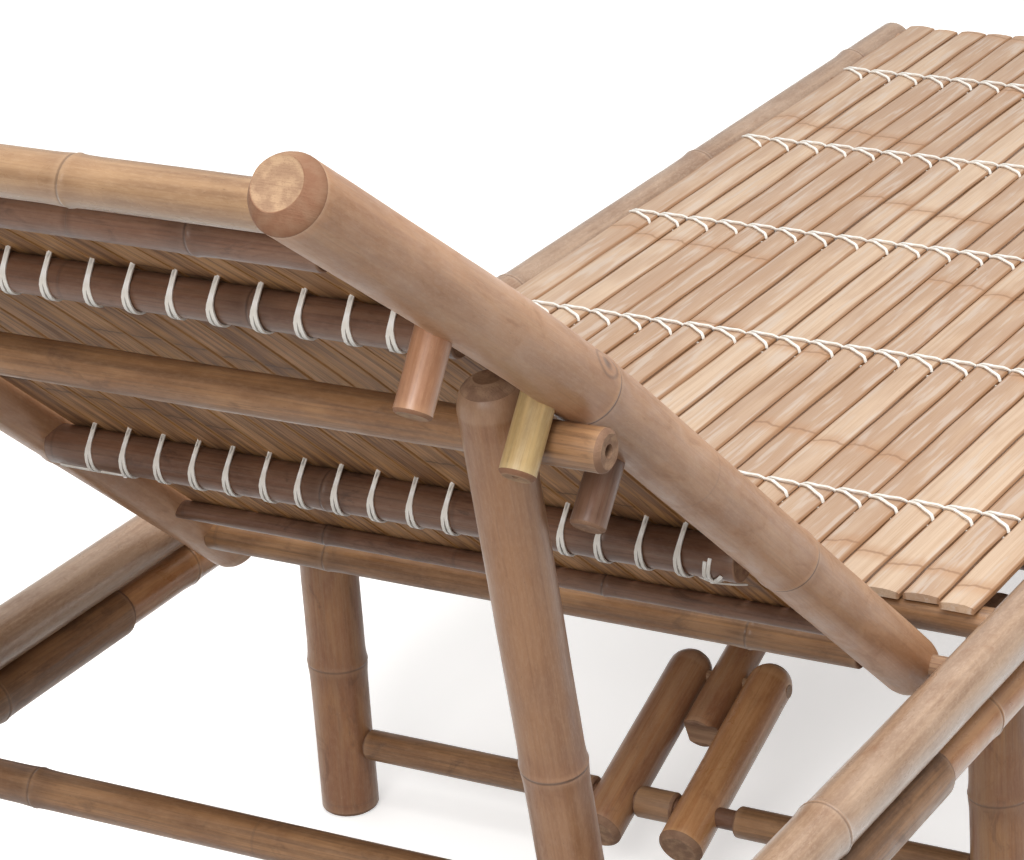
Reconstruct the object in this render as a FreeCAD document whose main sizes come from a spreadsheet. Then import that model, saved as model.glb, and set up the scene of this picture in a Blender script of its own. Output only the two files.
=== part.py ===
import FreeCAD, Part
import math
import os
import Sketcher

# Bamboo folding recliner: a slatted seat on level doubled rails, a bent backrest that leans on a
# barred prop between pegs, and two leg frames, each held open by a stay that folds at its knee.
# X runs across, Y runs from the head to the foot, Z is up from the floor. Millimetres and degrees.

doc = FreeCAD.newDocument("Recliner")
sheet = doc.addObject("Spreadsheet::Sheet", "Sizes")

sizes = [
    ("overall_width", 650.0),
    ("side_rail_diameter", 36.0),
    ("side_rail_height", 282.0),
    ("rail_head_reach", 424.0),
    ("rail_foot_reach", 1240.0),
    ("lower_rail_diameter", 30.0),
    ("socket_diameter", 36.0),
    ("socket_end_reach", 64.0),
    ("socket_plug_depth", 40.0),
    ("lower_rail_foot_reach", 1215.0),
    ("rail_dowel_diameter", 8.0),
    ("cross_pole_diameter", 24.0),
    ("cross_pole_rise", 1.0),
    ("cross_pole_tenon", 14.0),
    ("rear_rail_diameter", 22.0),
    ("rear_rail_reach", 64.0),
    ("foot_rail_diameter", 30.0),
    ("foot_rail_reach", 1216.0),
    ("seat_row_first", 176.0),
    ("seat_row_second", 422.0),
    ("seat_row_third", 643.0),
    ("seat_row_fourth", 854.0),
    ("seat_row_fifth", 1067.0),
    ("slat_width", 25.0),
    ("slat_thickness", 6.0),
    ("slat_gap", 2.4),
    ("slat_edge_round", 1.5),
    ("seat_slat_overhang", 10.0),
    ("stile_clearance", 9.0),
    ("stile_diameter", 40.0),
    ("stile_lower_length", 527.0),
    ("stile_upper_length", 295.0),
    ("stile_tail", 26.0),
    ("stile_slope_angle", 41.2),
    ("stile_bend_angle", 4.8),
    ("stile_bend_length", 200.0),
    ("hinge_pin_diameter", 14.0),
    ("back_slat_level", 1.0),
    ("back_slat_width", 24.0),
    ("back_slat_start", 62.0),
    ("back_slat_end", 768.0),
    ("top_rail_diameter", 25.0),
    ("top_rail_station", 789.0),
    ("second_rail_diameter", 19.0),
    ("second_rail_station", 751.0),
    ("pole_a_diameter", 21.0),
    ("pole_a_station", 613.0),
    ("pole_b_diameter", 26.0),
    ("pole_b_station", 237.0),
    ("bottom_rail_diameter", 13.0),
    ("bottom_rail_station", 84.0),
    ("spreader_diameter", 21.0),
    ("spreader_station", 35.0),
    ("spreader_drop", 8.0),
    ("back_tenon", 10.0),
    ("peg_diameter", 20.0),
    ("peg_reach", 39.0),
    ("peg_seat_depth", 22.0),
    ("peg_inset", 9.0),
    ("peg_spacing_low", 90.0),
    ("peg_spacing_high", 117.0),
    ("bar_diameter", 24.0),
    ("bar_bore", 6.0),
    ("bar_bore_depth", 14.0),
    ("bar_station", 510.0),
    ("bar_length", 574.0),
    ("prop_leg_diameter", 37.0),
    ("prop_leg_beyond_bar", 34.0),
    ("prop_axle_diameter", 24.0),
    ("prop_axle_reach", 354.0),
    ("leg_diameter", 43.0),
    ("rear_leg_reach", 134.0),
    ("foot_leg_reach", 1188.0),
    ("leg_axle_diameter", 20.0),
    ("leg_axle_tenon", 12.0),
    ("stretcher_height", 56.0),
    ("stretcher_diameter", 15.0),
    ("sleeve_diameter", 23.0),
    ("sleeve_near_gap", 14.0),
    ("fork_arm_diameter", 34.0),
    ("fork_spacing", 66.0),
    ("fork_knee_reach", 125.0),
    ("fork_tail", 36.0),
    ("knee_pin_diameter", 10.0),
    ("tongue_diameter", 28.0),
    ("tongue_tail", 55.0),
    ("tongue_tip", 24.0),
    ("fish_mouth_diameter", 24.0),
    ("ring_height", 1.2),
    ("ring_half_width", 4.0),
    ("internode", 330.0),
    ("ring_offset", 115.0),
    ("ring_end_clearance", 60.0),
    ("rail_ring_setback", 30.0),
    ("rasped_bevel", 5.0),
    ("lashing_width", 1.8),
    ("lashing_thickness", 1.5),
    ("touch_gap", 0.3),
    ("running_gap", 0.06),
    ("fixed_gap", 0.03),
    ("side_gap", 1.0),
]

for row, (alias, number) in enumerate(sizes, start=1):
    sheet.set("A%d" % row, alias)
    sheet.set("B%d" % row, str(number))
    sheet.setAlias("B%d" % row, alias)
doc.recompute()


class Size:
    # A number together with the expression that ties it to the sheet.
    def __init__(self, number, text):
        self.number = number
        self.text = text

    def joined(self, other, sign, number):
        other_text = other.text if isinstance(other, Size) else repr(float(other))
        return Size(number, "(%s %s %s)" % (self.text, sign, other_text))

    def __add__(self, other):
        return self.joined(other, "+", self.number + value(other))

    def __sub__(self, other):
        return self.joined(other, "-", self.number - value(other))

    def __mul__(self, other):
        return self.joined(other, "*", self.number * value(other))

    def __truediv__(self, other):
        return self.joined(other, "/", self.number / value(other))


def value(size):
    return size.number if isinstance(size, Size) else float(size)


def cell(alias):
    return Size(float(sheet.get(alias)), "Sizes.%s" % alias)


def plain(alias):
    return float(sheet.get(alias))


# The seat frame's levels, measured from the hinge pins, which are at Y 0 until the last step.

rail_x = (plain("overall_width") - plain("side_rail_diameter")) / 2
rail_z = plain("side_rail_height")
rail_inner_x = rail_x - plain("side_rail_diameter") / 2
lower_rail_z = rail_z - (plain("side_rail_diameter") + plain("socket_diameter")) / 2 - plain("touch_gap")
lower_inner_x = rail_x - plain("lower_rail_diameter") / 2
cross_pole_z = rail_z + plain("cross_pole_rise")
slat_floor_z = cross_pole_z + plain("cross_pole_diameter") / 2 + plain("touch_gap")
stile_x = rail_inner_x - plain("stile_clearance") - plain("stile_diameter") / 2
stile_inner_x = stile_x - plain("stile_diameter") / 2
prop_x = stile_inner_x - plain("side_gap") - plain("prop_leg_diameter") / 2
leg_x = rail_inner_x - plain("side_gap") - plain("leg_diameter") / 2
fork_x = plain("fork_spacing") / 2

head_end = -plain("rail_head_reach")
foot_end = plain("rail_foot_reach")
seat_rows = [plain("seat_row_" + name) for name in ("first", "second", "third", "fourth", "fifth")]


def along(start, end):
    return FreeCAD.Vector(*end) - FreeCAD.Vector(*start)


def lay(piece, start, direction):
    # Turns the piece's own Z axis along the direction and puts its origin at the start.
    turn = FreeCAD.Rotation(FreeCAD.Vector(0, 0, 1), FreeCAD.Vector(*direction))
    piece.Placement = FreeCAD.Placement(FreeCAD.Vector(*start), turn)
    return piece


# The culm, a round bamboo pole: half its outline is drawn in a sketch and turned about the pole's
# axis, with a ridge at each node and an end of the kind that the pole needs.

def end_points(kind, radius, tenon, tenon_length):
    # Outline points of one end, from the axis outwards, as radius and distance from the end.
    if kind == "rasped":
        bevel = cell("rasped_bevel")
        return [(radius - bevel, None), (radius, bevel)]
    if kind == "dome":
        steps = [math.radians(angle) for angle in (24, 52)]
        points = [(radius * math.sin(steps[0]), None)]
        flat = 1 - math.cos(steps[0])
        points.append((radius * math.sin(steps[1]), radius * (1 - math.cos(steps[1]) - flat)))
        points.append((radius, radius * (1 - flat)))
        return points
    if kind == "tenon":
        return [(tenon, None), (tenon, tenon_length), (radius, tenon_length)]
    return [(radius, None)]


def culm(name, length, radius, ends=("square", "square"), rings=(), tenon=None, tenon_length=None):
    body = doc.addObject("PartDesign::Body", name)
    sketch = body.newObject("Sketcher::SketchObject", name + "_outline")
    plane = [part for part in body.Origin.OriginFeatures if part.Role == "XZ_Plane"][0]
    sketch.AttachmentSupport = [(plane, "")]
    sketch.MapMode = "FlatFace"
    outline = [(None, None)]
    for radial, station in end_points(ends[0], radius, tenon, tenon_length):
        outline.append((radial, station))
    for station in rings:
        outline.append((radius, station - cell("ring_half_width")))
        outline.append((radius + cell("ring_height"), station))
        outline.append((radius, station + cell("ring_half_width")))
    for radial, station in reversed(end_points(ends[1], radius, tenon, tenon_length)):
        outline.append((radial, length if station is None else length - station))
    outline.append((None, length))
    corners = [FreeCAD.Vector(value(x) if x else 0, value(z) if z else 0, 0) for x, z in outline]
    count = len(corners)
    for index in range(count):
        sketch.addGeometry(Part.LineSegment(corners[index], corners[(index + 1) % count]), False)
    for index in range(count):
        sketch.addConstraint(Sketcher.Constraint("Coincident", index, 2, (index + 1) % count, 1))
    for index, (radial, station) in enumerate(outline):
        if radial is None:
            sketch.addConstraint(Sketcher.Constraint("PointOnObject", index, 1, -2))
        else:
            bound(sketch, "DistanceX", index, radial)
        if station is None:
            sketch.addConstraint(Sketcher.Constraint("PointOnObject", index, 1, -1))
        else:
            bound(sketch, "DistanceY", index, station)
    turned = body.newObject("PartDesign::Revolution", name + "_turned")
    turned.Profile = sketch
    turned.ReferenceAxis = (sketch, ["V_Axis"])
    turned.Angle = 360
    return body


def bound(sketch, kind, index, size):
    number = sketch.addConstraint(Sketcher.Constraint(kind, -1, 1, index, 1, value(size)))
    sketch.setExpression("Constraints[%d]" % number, size.text)


def node_rings(length, first):
    # Stations of the node ridges along a pole, one internode apart.
    rings = []
    station = first
    while value(station) < value(length) - plain("ring_end_clearance"):
        rings.append(station)
        station = station + cell("internode")
    return rings


def rod(name, radius, length, start, direction):
    piece = doc.addObject("Part::Cylinder", name)
    piece.setExpression("Radius", radius.text)
    piece.setExpression("Height", length.text)
    return lay(piece, start, direction)


def bored(name, base, tools):
    tool = tools[0]
    if len(tools) > 1:
        tool = doc.addObject("Part::Compound", name + "_bores")
        tool.Links = tools
    cut = doc.addObject("Part::Cut", name + "_bored")
    cut.Base = base
    cut.Tool = tool
    return cut


nodes = {}


def keep(name, piece):
    piece.Label = name
    nodes[name] = piece


def sides():
    return (("left", -1), ("right", 1))


# The backrest's side view: a straight lower run from the hinge, a gentle bend, a straight upper run.
# A station is the distance from the hinge along the stile, and a level is the height over its axis.

slope = math.radians(plain("stile_slope_angle"))
bend = math.radians(plain("stile_bend_angle"))
low_way = (-math.cos(slope), math.sin(slope))
high_way = (-math.cos(slope - bend), math.sin(slope - bend))
bend_start = plain("stile_lower_length") - plain("stile_bend_length") / 2
bend_end = bend_start + plain("stile_bend_length")
bend_radius = cell("stile_bend_length") / cell("stile_bend_angle") * (180 / math.pi)
half_tangent = bend_radius.number * math.tan(bend / 2)
bend_corner = (bend_start + half_tangent)


def back_frame(station):
    # The point on the stile's axis at this station, the way along it and the way up from it.
    if station <= bend_start:
        turned = 0.0
        point = (low_way[0] * station, low_way[1] * station)
    elif station >= bend_end:
        turned = bend
        run = station - bend_end + half_tangent
        point = (low_way[0] * bend_corner + high_way[0] * run, low_way[1] * bend_corner + high_way[1] * run)
    else:
        turned = bend * (station - bend_start) / (bend_end - bend_start)
        chord = 2 * bend_radius.number * math.sin(turned / 2)
        angle = slope - turned / 2
        point = (low_way[0] * bend_start - chord * math.cos(angle), low_way[1] * bend_start + chord * math.sin(angle))
    angle = slope - turned
    return point, (-math.cos(angle), math.sin(angle)), (math.sin(angle), math.cos(angle))


def back_point(station, level, x=0.0):
    point, way, up = back_frame(station)
    return (x, point[0] + up[0] * level, rail_z + point[1] + up[1] * level)


def seated_level(diameter):
    # The level of a cross pole whose top just meets the slats.
    return plain("back_slat_level") - plain("touch_gap") - diameter / 2


bar_level = -(plain("stile_diameter") + plain("bar_diameter")) / 2 - plain("touch_gap")
bar_point = back_point(plain("bar_station"), bar_level)
peg_middle = plain("bar_station") + (plain("bar_diameter") + plain("peg_diameter")) / 2 + plain("touch_gap")
peg_stations = [peg_middle - plain("peg_spacing_low"), peg_middle, peg_middle + plain("peg_spacing_high")]
prop_foot = (0.0, -plain("prop_axle_reach"), rail_z)
prop_way = along(prop_foot, bar_point).normalize()

back_rails = {
    "back_top_rail": ("top_rail", 0.0),
    "back_second_rail": ("second_rail", seated_level(plain("second_rail_diameter"))),
    "back_cross_pole_a": ("pole_a", seated_level(plain("pole_a_diameter"))),
    "back_cross_pole_b": ("pole_b", seated_level(plain("pole_b_diameter"))),
    "back_bottom_rail": ("bottom_rail", seated_level(plain("bottom_rail_diameter"))),
    "back_spreader": ("spreader", -plain("spreader_drop")),
}


# Poles that lie across, with a tenon at each end that is let into the pole on either side.

def cross_pole(name, diameter, tenon, shoulder_x, tenon_length, y, z):
    body_length = 2 * (shoulder_x - plain("touch_gap"))
    length = Size(body_length + 2 * tenon_length, repr(body_length + 2 * tenon_length))
    tongue = Size(tenon_length, repr(tenon_length))
    pole = culm(name, length, diameter / 2, ("tenon", "tenon"), (), tenon / 2, tongue)
    lay(pole, (-length.number / 2, y, z), (1, 0, 0))
    return pole


def socket(name, tenon, x, y, z, side, depth):
    # The blind hole for a tenon, as deep as the tenon reaches from the shoulder.
    start = (side * (x - plain("side_gap")), y, z)
    length = Size(depth + plain("side_gap"), repr(depth + plain("side_gap")))
    return rod(name, tenon / 2 + cell("fixed_gap"), length, start, (side, 0, 0))


rail_tenon_length = 0.62 * plain("side_rail_diameter")
lower_tenon_length = 0.6 * plain("lower_rail_diameter")
back_tenon_length = 0.5 * plain("stile_diameter")

rail_mates = [("seat_rear_rail", plain("rear_rail_reach"), slat_floor_z - plain("touch_gap") - plain("rear_rail_diameter") / 2)]
rail_mates.append(("foot_rail", plain("foot_rail_reach"), slat_floor_z - plain("touch_gap") - plain("foot_rail_diameter") / 2))
rail_mates.append(("prop_axle", -plain("prop_axle_reach"), rail_z))
for number, reach in enumerate(seat_rows, start=1):
    rail_mates.append(("seat_cross_pole_%d" % number, reach, cross_pole_z))
leg_places = {"rear": plain("rear_leg_reach"), "foot": plain("foot_leg_reach")}

mate_diameters = {"seat_rear_rail": "rear_rail_diameter", "foot_rail": "foot_rail_diameter", "prop_axle": "prop_axle_diameter"}
for name, y, z in rail_mates:
    diameter = cell(mate_diameters.get(name, "cross_pole_diameter"))
    keep(name, cross_pole(name, diameter, cell("cross_pole_tenon"), rail_inner_x, rail_tenon_length, y, z))
for end, y in leg_places.items():
    name = end + "_leg_axle"
    pole = cross_pole(name, cell("leg_axle_diameter"), cell("leg_axle_tenon"), lower_inner_x, lower_tenon_length, y, lower_rail_z)
    keep(name, pole)


# Side rails, the lower rails under them, and the sockets that the lower rails plug into.

dowel_stations = [head_end + 40, (seat_rows[0] + seat_rows[1]) / 2, (seat_rows[3] + seat_rows[4]) / 2]
dowel_top = rail_z
dowel_foot = lower_rail_z - plain("lower_rail_diameter") / 2 + 2


def dowel(name, x, y, widen):
    length = Size(dowel_top - dowel_foot + widen, repr(dowel_top - dowel_foot + widen))
    radius = cell("rail_dowel_diameter") / 2 + Size(widen, repr(widen))
    return rod(name, radius, length, (x, y, dowel_foot - widen / 2), (0, 0, 1))


for hand, side in sides():
    x = side * rail_x
    length = cell("rail_head_reach") + cell("rail_foot_reach")
    rail = culm("side_rail_" + hand, length, cell("side_rail_diameter") / 2, ("rasped", "rasped"), node_rings(length, cell("rail_head_reach") - cell("rail_ring_setback")))
    lay(rail, (x, head_end, rail_z), (0, 1, 0))
    holes = [socket("%s_in_%s" % (name, hand), cell("cross_pole_tenon"), rail_inner_x, y, z, side, rail_tenon_length) for name, y, z in rail_mates]
    pin_depth = Size(rail_tenon_length, repr(rail_tenon_length))
    holes.append(rod("hinge_seat_" + hand, cell("hinge_pin_diameter") / 2 + cell("fixed_gap"), pin_depth + 1, (side * (rail_inner_x - 1), 0, rail_z), (side, 0, 0)))
    holes += [dowel("rail_dowel_seat_%s_%d" % (hand, index), x, y, 2 * plain("fixed_gap")) for index, y in enumerate(dowel_stations)]
    keep("side_rail_" + hand, bored("side_rail_" + hand, rail, holes))

    plug = -plain("socket_end_reach") - plain("socket_plug_depth")
    low_length = cell("lower_rail_foot_reach") + cell("socket_end_reach") + cell("socket_plug_depth")
    lower = culm("lower_rail_" + hand, low_length, cell("lower_rail_diameter") / 2, ("square", "rasped"), node_rings(low_length, cell("ring_offset")))
    lay(lower, (x, plug, lower_rail_z), (0, 1, 0))
    holes = [socket("%s_axle_in_%s" % (end, hand), cell("leg_axle_tenon"), lower_inner_x, y, lower_rail_z, side, lower_tenon_length) for end, y in leg_places.items()]
    holes += [dowel("lower_dowel_seat_%s_%d" % (hand, index), x, y, 2 * plain("fixed_gap")) for index, y in enumerate(dowel_stations) if y > 0]
    keep("lower_rail_" + hand, bored("lower_rail_" + hand, lower, holes))

    socket_length = cell("rail_head_reach") - cell("socket_end_reach")
    sleeve = culm("rail_socket_" + hand, socket_length, cell("socket_diameter") / 2, ("rasped", "dome"))
    lay(sleeve, (x, head_end, lower_rail_z), (0, 1, 0))
    mouth = rod("rail_socket_mouth_" + hand, cell("lower_rail_diameter") / 2 + cell("fixed_gap"), cell("socket_plug_depth") + 1, (x, plug - plain("fixed_gap"), lower_rail_z), (0, 1, 0))
    seat = dowel("rail_socket_dowel_seat_" + hand, x, dowel_stations[0], 2 * plain("fixed_gap"))
    keep("rail_socket_" + hand, bored("rail_socket_" + hand, sleeve, [mouth, seat]))

    pin_length = rail_inner_x + rail_tenon_length - stile_inner_x
    pin = rod("hinge_pin_" + hand, cell("hinge_pin_diameter") / 2, Size(pin_length, repr(pin_length)), (side * stile_inner_x, 0, rail_z), (side, 0, 0))
    keep("hinge_pin_" + hand, pin)

dowels = doc.addObject("Part::Compound", "rail_dowels")
dowels.Links = [dowel("rail_dowel_%s_%d" % (hand, index), side * rail_x, y, 0.0) for hand, side in sides() for index, y in enumerate(dowel_stations)]
keep("rail_dowels", dowels)


# Seat slats: split strips with eased upper edges, laid side by side over the cross poles.

def strip_section(width, thickness, ease):
    half = width / 2
    points = [(-half, 0), (half, 0), (half, thickness - ease), (half - ease, thickness), (ease - half, thickness), (-half, thickness - ease)]
    return points


def copies(name, shapes):
    group = doc.addObject("Part::Feature", name)
    group.Shape = Part.makeCompound(shapes)
    return group


slat_pitch = plain("slat_width") + plain("slat_gap")
slat_count = int((2 * rail_inner_x - plain("slat_gap")) / slat_pitch)
slat_xs = [slat_pitch * (index - (slat_count - 1) / 2) for index in range(slat_count)]
slat_start = plain("rear_rail_reach") - plain("seat_slat_overhang")
slat_end = plain("foot_rail_reach") + plain("seat_slat_overhang")
section = [FreeCAD.Vector(x, slat_start, slat_floor_z + z) for x, z in strip_section(plain("slat_width"), plain("slat_thickness"), plain("slat_edge_round"))]
strip = Part.Face(Part.makePolygon(section + section[:1])).extrude(FreeCAD.Vector(0, slat_end - slat_start, 0))
slat_shapes = []
for x in slat_xs:
    slat = strip.copy()
    slat.translate(FreeCAD.Vector(x, 0, 0))
    slat_shapes.append(slat)
keep("seat_slats", copies("seat_slats", slat_shapes))


# Back slats: strips that follow the bend of the stiles.

def back_curve(level, first, last):
    # The side view's line, arc and line at this level, as edges in the plane X 0.
    stops = [back_point(station, level) for station in (first, bend_start, (bend_start + bend_end) / 2, bend_end, last)]
    points = [FreeCAD.Vector(*stop) for stop in stops]
    return points


def back_strip(width, first, last):
    low = back_curve(plain("back_slat_level"), first, last)
    high = back_curve(plain("back_slat_level") + plain("slat_thickness"), first, last)
    edges = [Part.LineSegment(low[0], low[1]), Part.Arc(low[1], low[2], low[3]), Part.LineSegment(low[3], low[4])]
    edges += [Part.LineSegment(low[4], high[4]), Part.LineSegment(high[4], high[3]), Part.Arc(high[3], high[2], high[1])]
    edges += [Part.LineSegment(high[1], high[0]), Part.LineSegment(high[0], low[0])]
    wire = Part.Wire([edge.toShape() for edge in edges])
    solid = Part.Face(wire).extrude(FreeCAD.Vector(width, 0, 0))
    solid.translate(FreeCAD.Vector(-width / 2, 0, 0))
    return solid


back_pitch = plain("back_slat_width") + plain("slat_gap")
back_count = int((2 * stile_inner_x - plain("slat_gap")) / back_pitch)
back_xs = [back_pitch * (index - (back_count - 1) / 2) for index in range(back_count)]
back_slat = back_strip(plain("back_slat_width"), plain("back_slat_start"), plain("back_slat_end"))
back_shapes = []
for x in back_xs:
    slat = back_slat.copy()
    slat.translate(FreeCAD.Vector(x, 0, 0))
    back_shapes.append(slat)
keep("back_slats", copies("back_slats", back_shapes))


# Lashings: in each gap between slats a flat loop of cord goes round the cross pole and over the top.

def loop(centre, way, up, pole_radius, cover):
    # A closed band round a pole at centre, over a strip whose top is at cover above the pole's axis.
    gap = plain("touch_gap")

    def ring(offset):
        reach = pole_radius + gap + offset
        corner = reach * math.tan(math.radians(22.5))
        top = cover + gap + offset
        flat = [(-reach, top), (-reach, -corner), (-corner, -reach), (corner, -reach), (reach, -corner), (reach, top)]
        return [centre + way * a + up * b for a, b in flat]

    outer = ring(plain("lashing_thickness"))
    inner = ring(0.0)
    band = Part.Face(Part.makePolygon(outer + outer[:1])).cut(Part.Face(Part.makePolygon(inner + inner[:1])))
    return band.extrude(FreeCAD.Vector(plain("lashing_width"), 0, 0))


def loops_between(xs, pitch, centre, way, up, pole_radius, cover):
    shapes = []
    template = loop(FreeCAD.Vector(*centre), way, up, pole_radius, cover)
    for x in xs[:-1]:
        band = template.copy()
        band.translate(FreeCAD.Vector(x + (pitch - plain("lashing_width")) / 2, 0, 0))
        shapes.append(band)
    return shapes


seat_loops = []
for y in seat_rows:
    cover = slat_floor_z + plain("slat_thickness") - cross_pole_z
    seat_loops += loops_between(slat_xs, slat_pitch, (0, y, cross_pole_z), FreeCAD.Vector(0, 1, 0), FreeCAD.Vector(0, 0, 1), plain("cross_pole_diameter") / 2, cover)
keep("seat_lashings", copies("seat_lashings", seat_loops))

back_loops = []
for alias in ("pole_a", "pole_b"):
    diameter = plain(alias + "_diameter")
    station = plain(alias + "_station")
    level = seated_level(diameter)
    point, way, up = back_frame(station)
    cover = plain("back_slat_level") + plain("slat_thickness") - level
    centre = back_point(station, level)
    back_loops += loops_between(back_xs, back_pitch, centre, FreeCAD.Vector(0, *way), FreeCAD.Vector(0, *up), diameter / 2, cover)
keep("back_lashings", copies("back_lashings", back_loops))


# Backrest rails and cross poles between the stiles.

for name, (alias, level) in back_rails.items():
    place = back_point(plain(alias + "_station"), level)
    diameter = cell(alias + "_diameter")
    keep(name, cross_pole(name, diameter, cell("back_tenon"), stile_inner_x, back_tenon_length, place[1], place[2]))


# Stiles: two straight culms with a bent length between them, bored for rails, pegs and hinge pin.

for hand, side in sides():
    x = side * stile_x
    radius = cell("stile_diameter") / 2
    low_length = cell("stile_lower_length") - cell("stile_bend_length") / 2 + cell("stile_tail")
    low = culm("stile_low_" + hand, low_length, radius, ("dome", "square"), [cell("stile_tail") + 170])
    lay(low, (x, -low_way[0] * plain("stile_tail"), rail_z - low_way[1] * plain("stile_tail")), (0, low_way[0], low_way[1]))
    curve = doc.addObject("Part::Torus", "stile_bend_" + hand)
    curve.setExpression("Radius1", bend_radius.text)
    curve.setExpression("Radius2", radius.text)
    curve.setExpression("Angle3", "Sizes.stile_bend_angle")
    point, way, up = back_frame(bend_start)
    out = FreeCAD.Vector(0, *up)
    across = FreeCAD.Vector(1, 0, 0)
    turn = FreeCAD.Rotation(out, across.cross(out), across, "ZXY")
    centre = FreeCAD.Vector(x, point[0], rail_z + point[1]) - out * bend_radius.number
    curve.Placement = FreeCAD.Placement(centre, turn)
    high_length = cell("stile_upper_length") - cell("stile_bend_length") / 2
    high = culm("stile_high_" + hand, high_length, radius, ("square", "rasped"))
    lay(high, back_point(bend_end, 0.0, x), (0, high_way[0], high_way[1]))
    pole = doc.addObject("Part::MultiFuse", "stile_pole_" + hand)
    pole.Shapes = [low, curve, high]
    holes = []
    for name, (alias, level) in back_rails.items():
        place = back_point(plain(alias + "_station"), level)
        length = Size(back_tenon_length + 1, repr(back_tenon_length + 1))
        holes.append(rod("%s_in_%s_stile" % (name, hand), cell("back_tenon") / 2 + cell("fixed_gap"), length, (side * (stile_inner_x - 1), place[1], place[2]), (side, 0, 0)))
    through = cell("stile_diameter") + 2
    start = (x - side * through.number / 2, 0, rail_z)
    holes.append(rod("hinge_bore_" + hand, cell("hinge_pin_diameter") / 2 + cell("running_gap"), through, start, (side, 0, 0)))
    peg_x = side * (stile_x - plain("peg_inset"))
    for number, station in enumerate(reversed(peg_stations), start=1):
        point, way, up = back_frame(station)
        tip = back_point(station, -plain("stile_diameter") / 2 - plain("peg_reach"), peg_x)
        length = cell("peg_reach") + cell("peg_seat_depth")
        holes.append(rod("peg_seat_%s_%d" % (hand, number), cell("peg_diameter") / 2 + cell("fixed_gap"), length + cell("fixed_gap"), tip, (0, *up)))
        peg = culm("notch_peg_%s_%d" % (hand, number), length, cell("peg_diameter") / 2, ("square", "square"))
        keep("notch_peg_%s_%d" % (hand, number), lay(peg, tip, (0, *up)))
    keep("stile_" + hand, bored("stile_" + hand, pole, holes))


# Prop: two legs that turn on the prop axle, and the bar that lies in the notch between two pegs.

bar_reach = along(prop_foot, bar_point).Length
bar = culm("prop_bar", cell("bar_length"), cell("bar_diameter") / 2, ("rasped", "rasped"))
lay(bar, (-plain("bar_length") / 2, bar_point[1], bar_point[2]), (1, 0, 0))
piths = []
for hand, side in sides():
    start = (side * (plain("bar_length") / 2 + 1), bar_point[1], bar_point[2])
    piths.append(rod("bar_pith_" + hand, cell("bar_bore") / 2, cell("bar_bore_depth") + 1, start, (-side, 0, 0)))
keep("prop_bar", bored("prop_bar", bar, piths))

for hand, side in sides():
    x = side * prop_x
    reach = Size(bar_reach, repr(bar_reach))
    length = cell("prop_leg_diameter") / 2 + reach + cell("prop_leg_beyond_bar")
    leg = culm("prop_leg_" + hand, length, cell("prop_leg_diameter") / 2, ("dome", "dome"), [length * 0.52])
    start = FreeCAD.Vector(x, prop_foot[1], prop_foot[2]) - prop_way * plain("prop_leg_diameter") / 2
    lay(leg, start, prop_way)
    through = cell("prop_leg_diameter") + 2
    edge = x - side * through.number / 2
    bores = [rod("prop_axle_bore_" + hand, cell("prop_axle_diameter") / 2 + cell("running_gap"), through, (edge, prop_foot[1], prop_foot[2]), (side, 0, 0))]
    bores.append(rod("prop_bar_bore_" + hand, cell("bar_diameter") / 2 + cell("fixed_gap"), through, (edge, bar_point[1], bar_point[2]), (side, 0, 0)))
    keep("prop_leg_" + hand, bored("prop_leg_" + hand, leg, bores))


# Leg frames and stays. The foot frame is the rear frame's mirror image, with a shorter tongue.

leg_height = lower_rail_z
stay_anchors = {"rear": (seat_rows[2], -1), "foot": (seat_rows[3], 1)}
joint_points = {}


def stay_frame(end):
    # The stay runs straight from the stretcher to the point just under its seat cross pole.
    anchor_y, lean = stay_anchors[end]
    foot = FreeCAD.Vector(0, leg_places[end], plain("stretcher_height"))
    clear = (plain("cross_pole_diameter") + plain("tongue_diameter")) / 2 + plain("touch_gap")
    pole = FreeCAD.Vector(0, anchor_y, cross_pole_z)
    span = pole - foot
    tilt = math.asin(clear / span.Length)
    turn = FreeCAD.Rotation(FreeCAD.Vector(1, 0, 0), math.degrees(tilt) * lean)
    way = turn.multVec(span).normalize()
    return foot, way, span.Length * math.cos(tilt)


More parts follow.
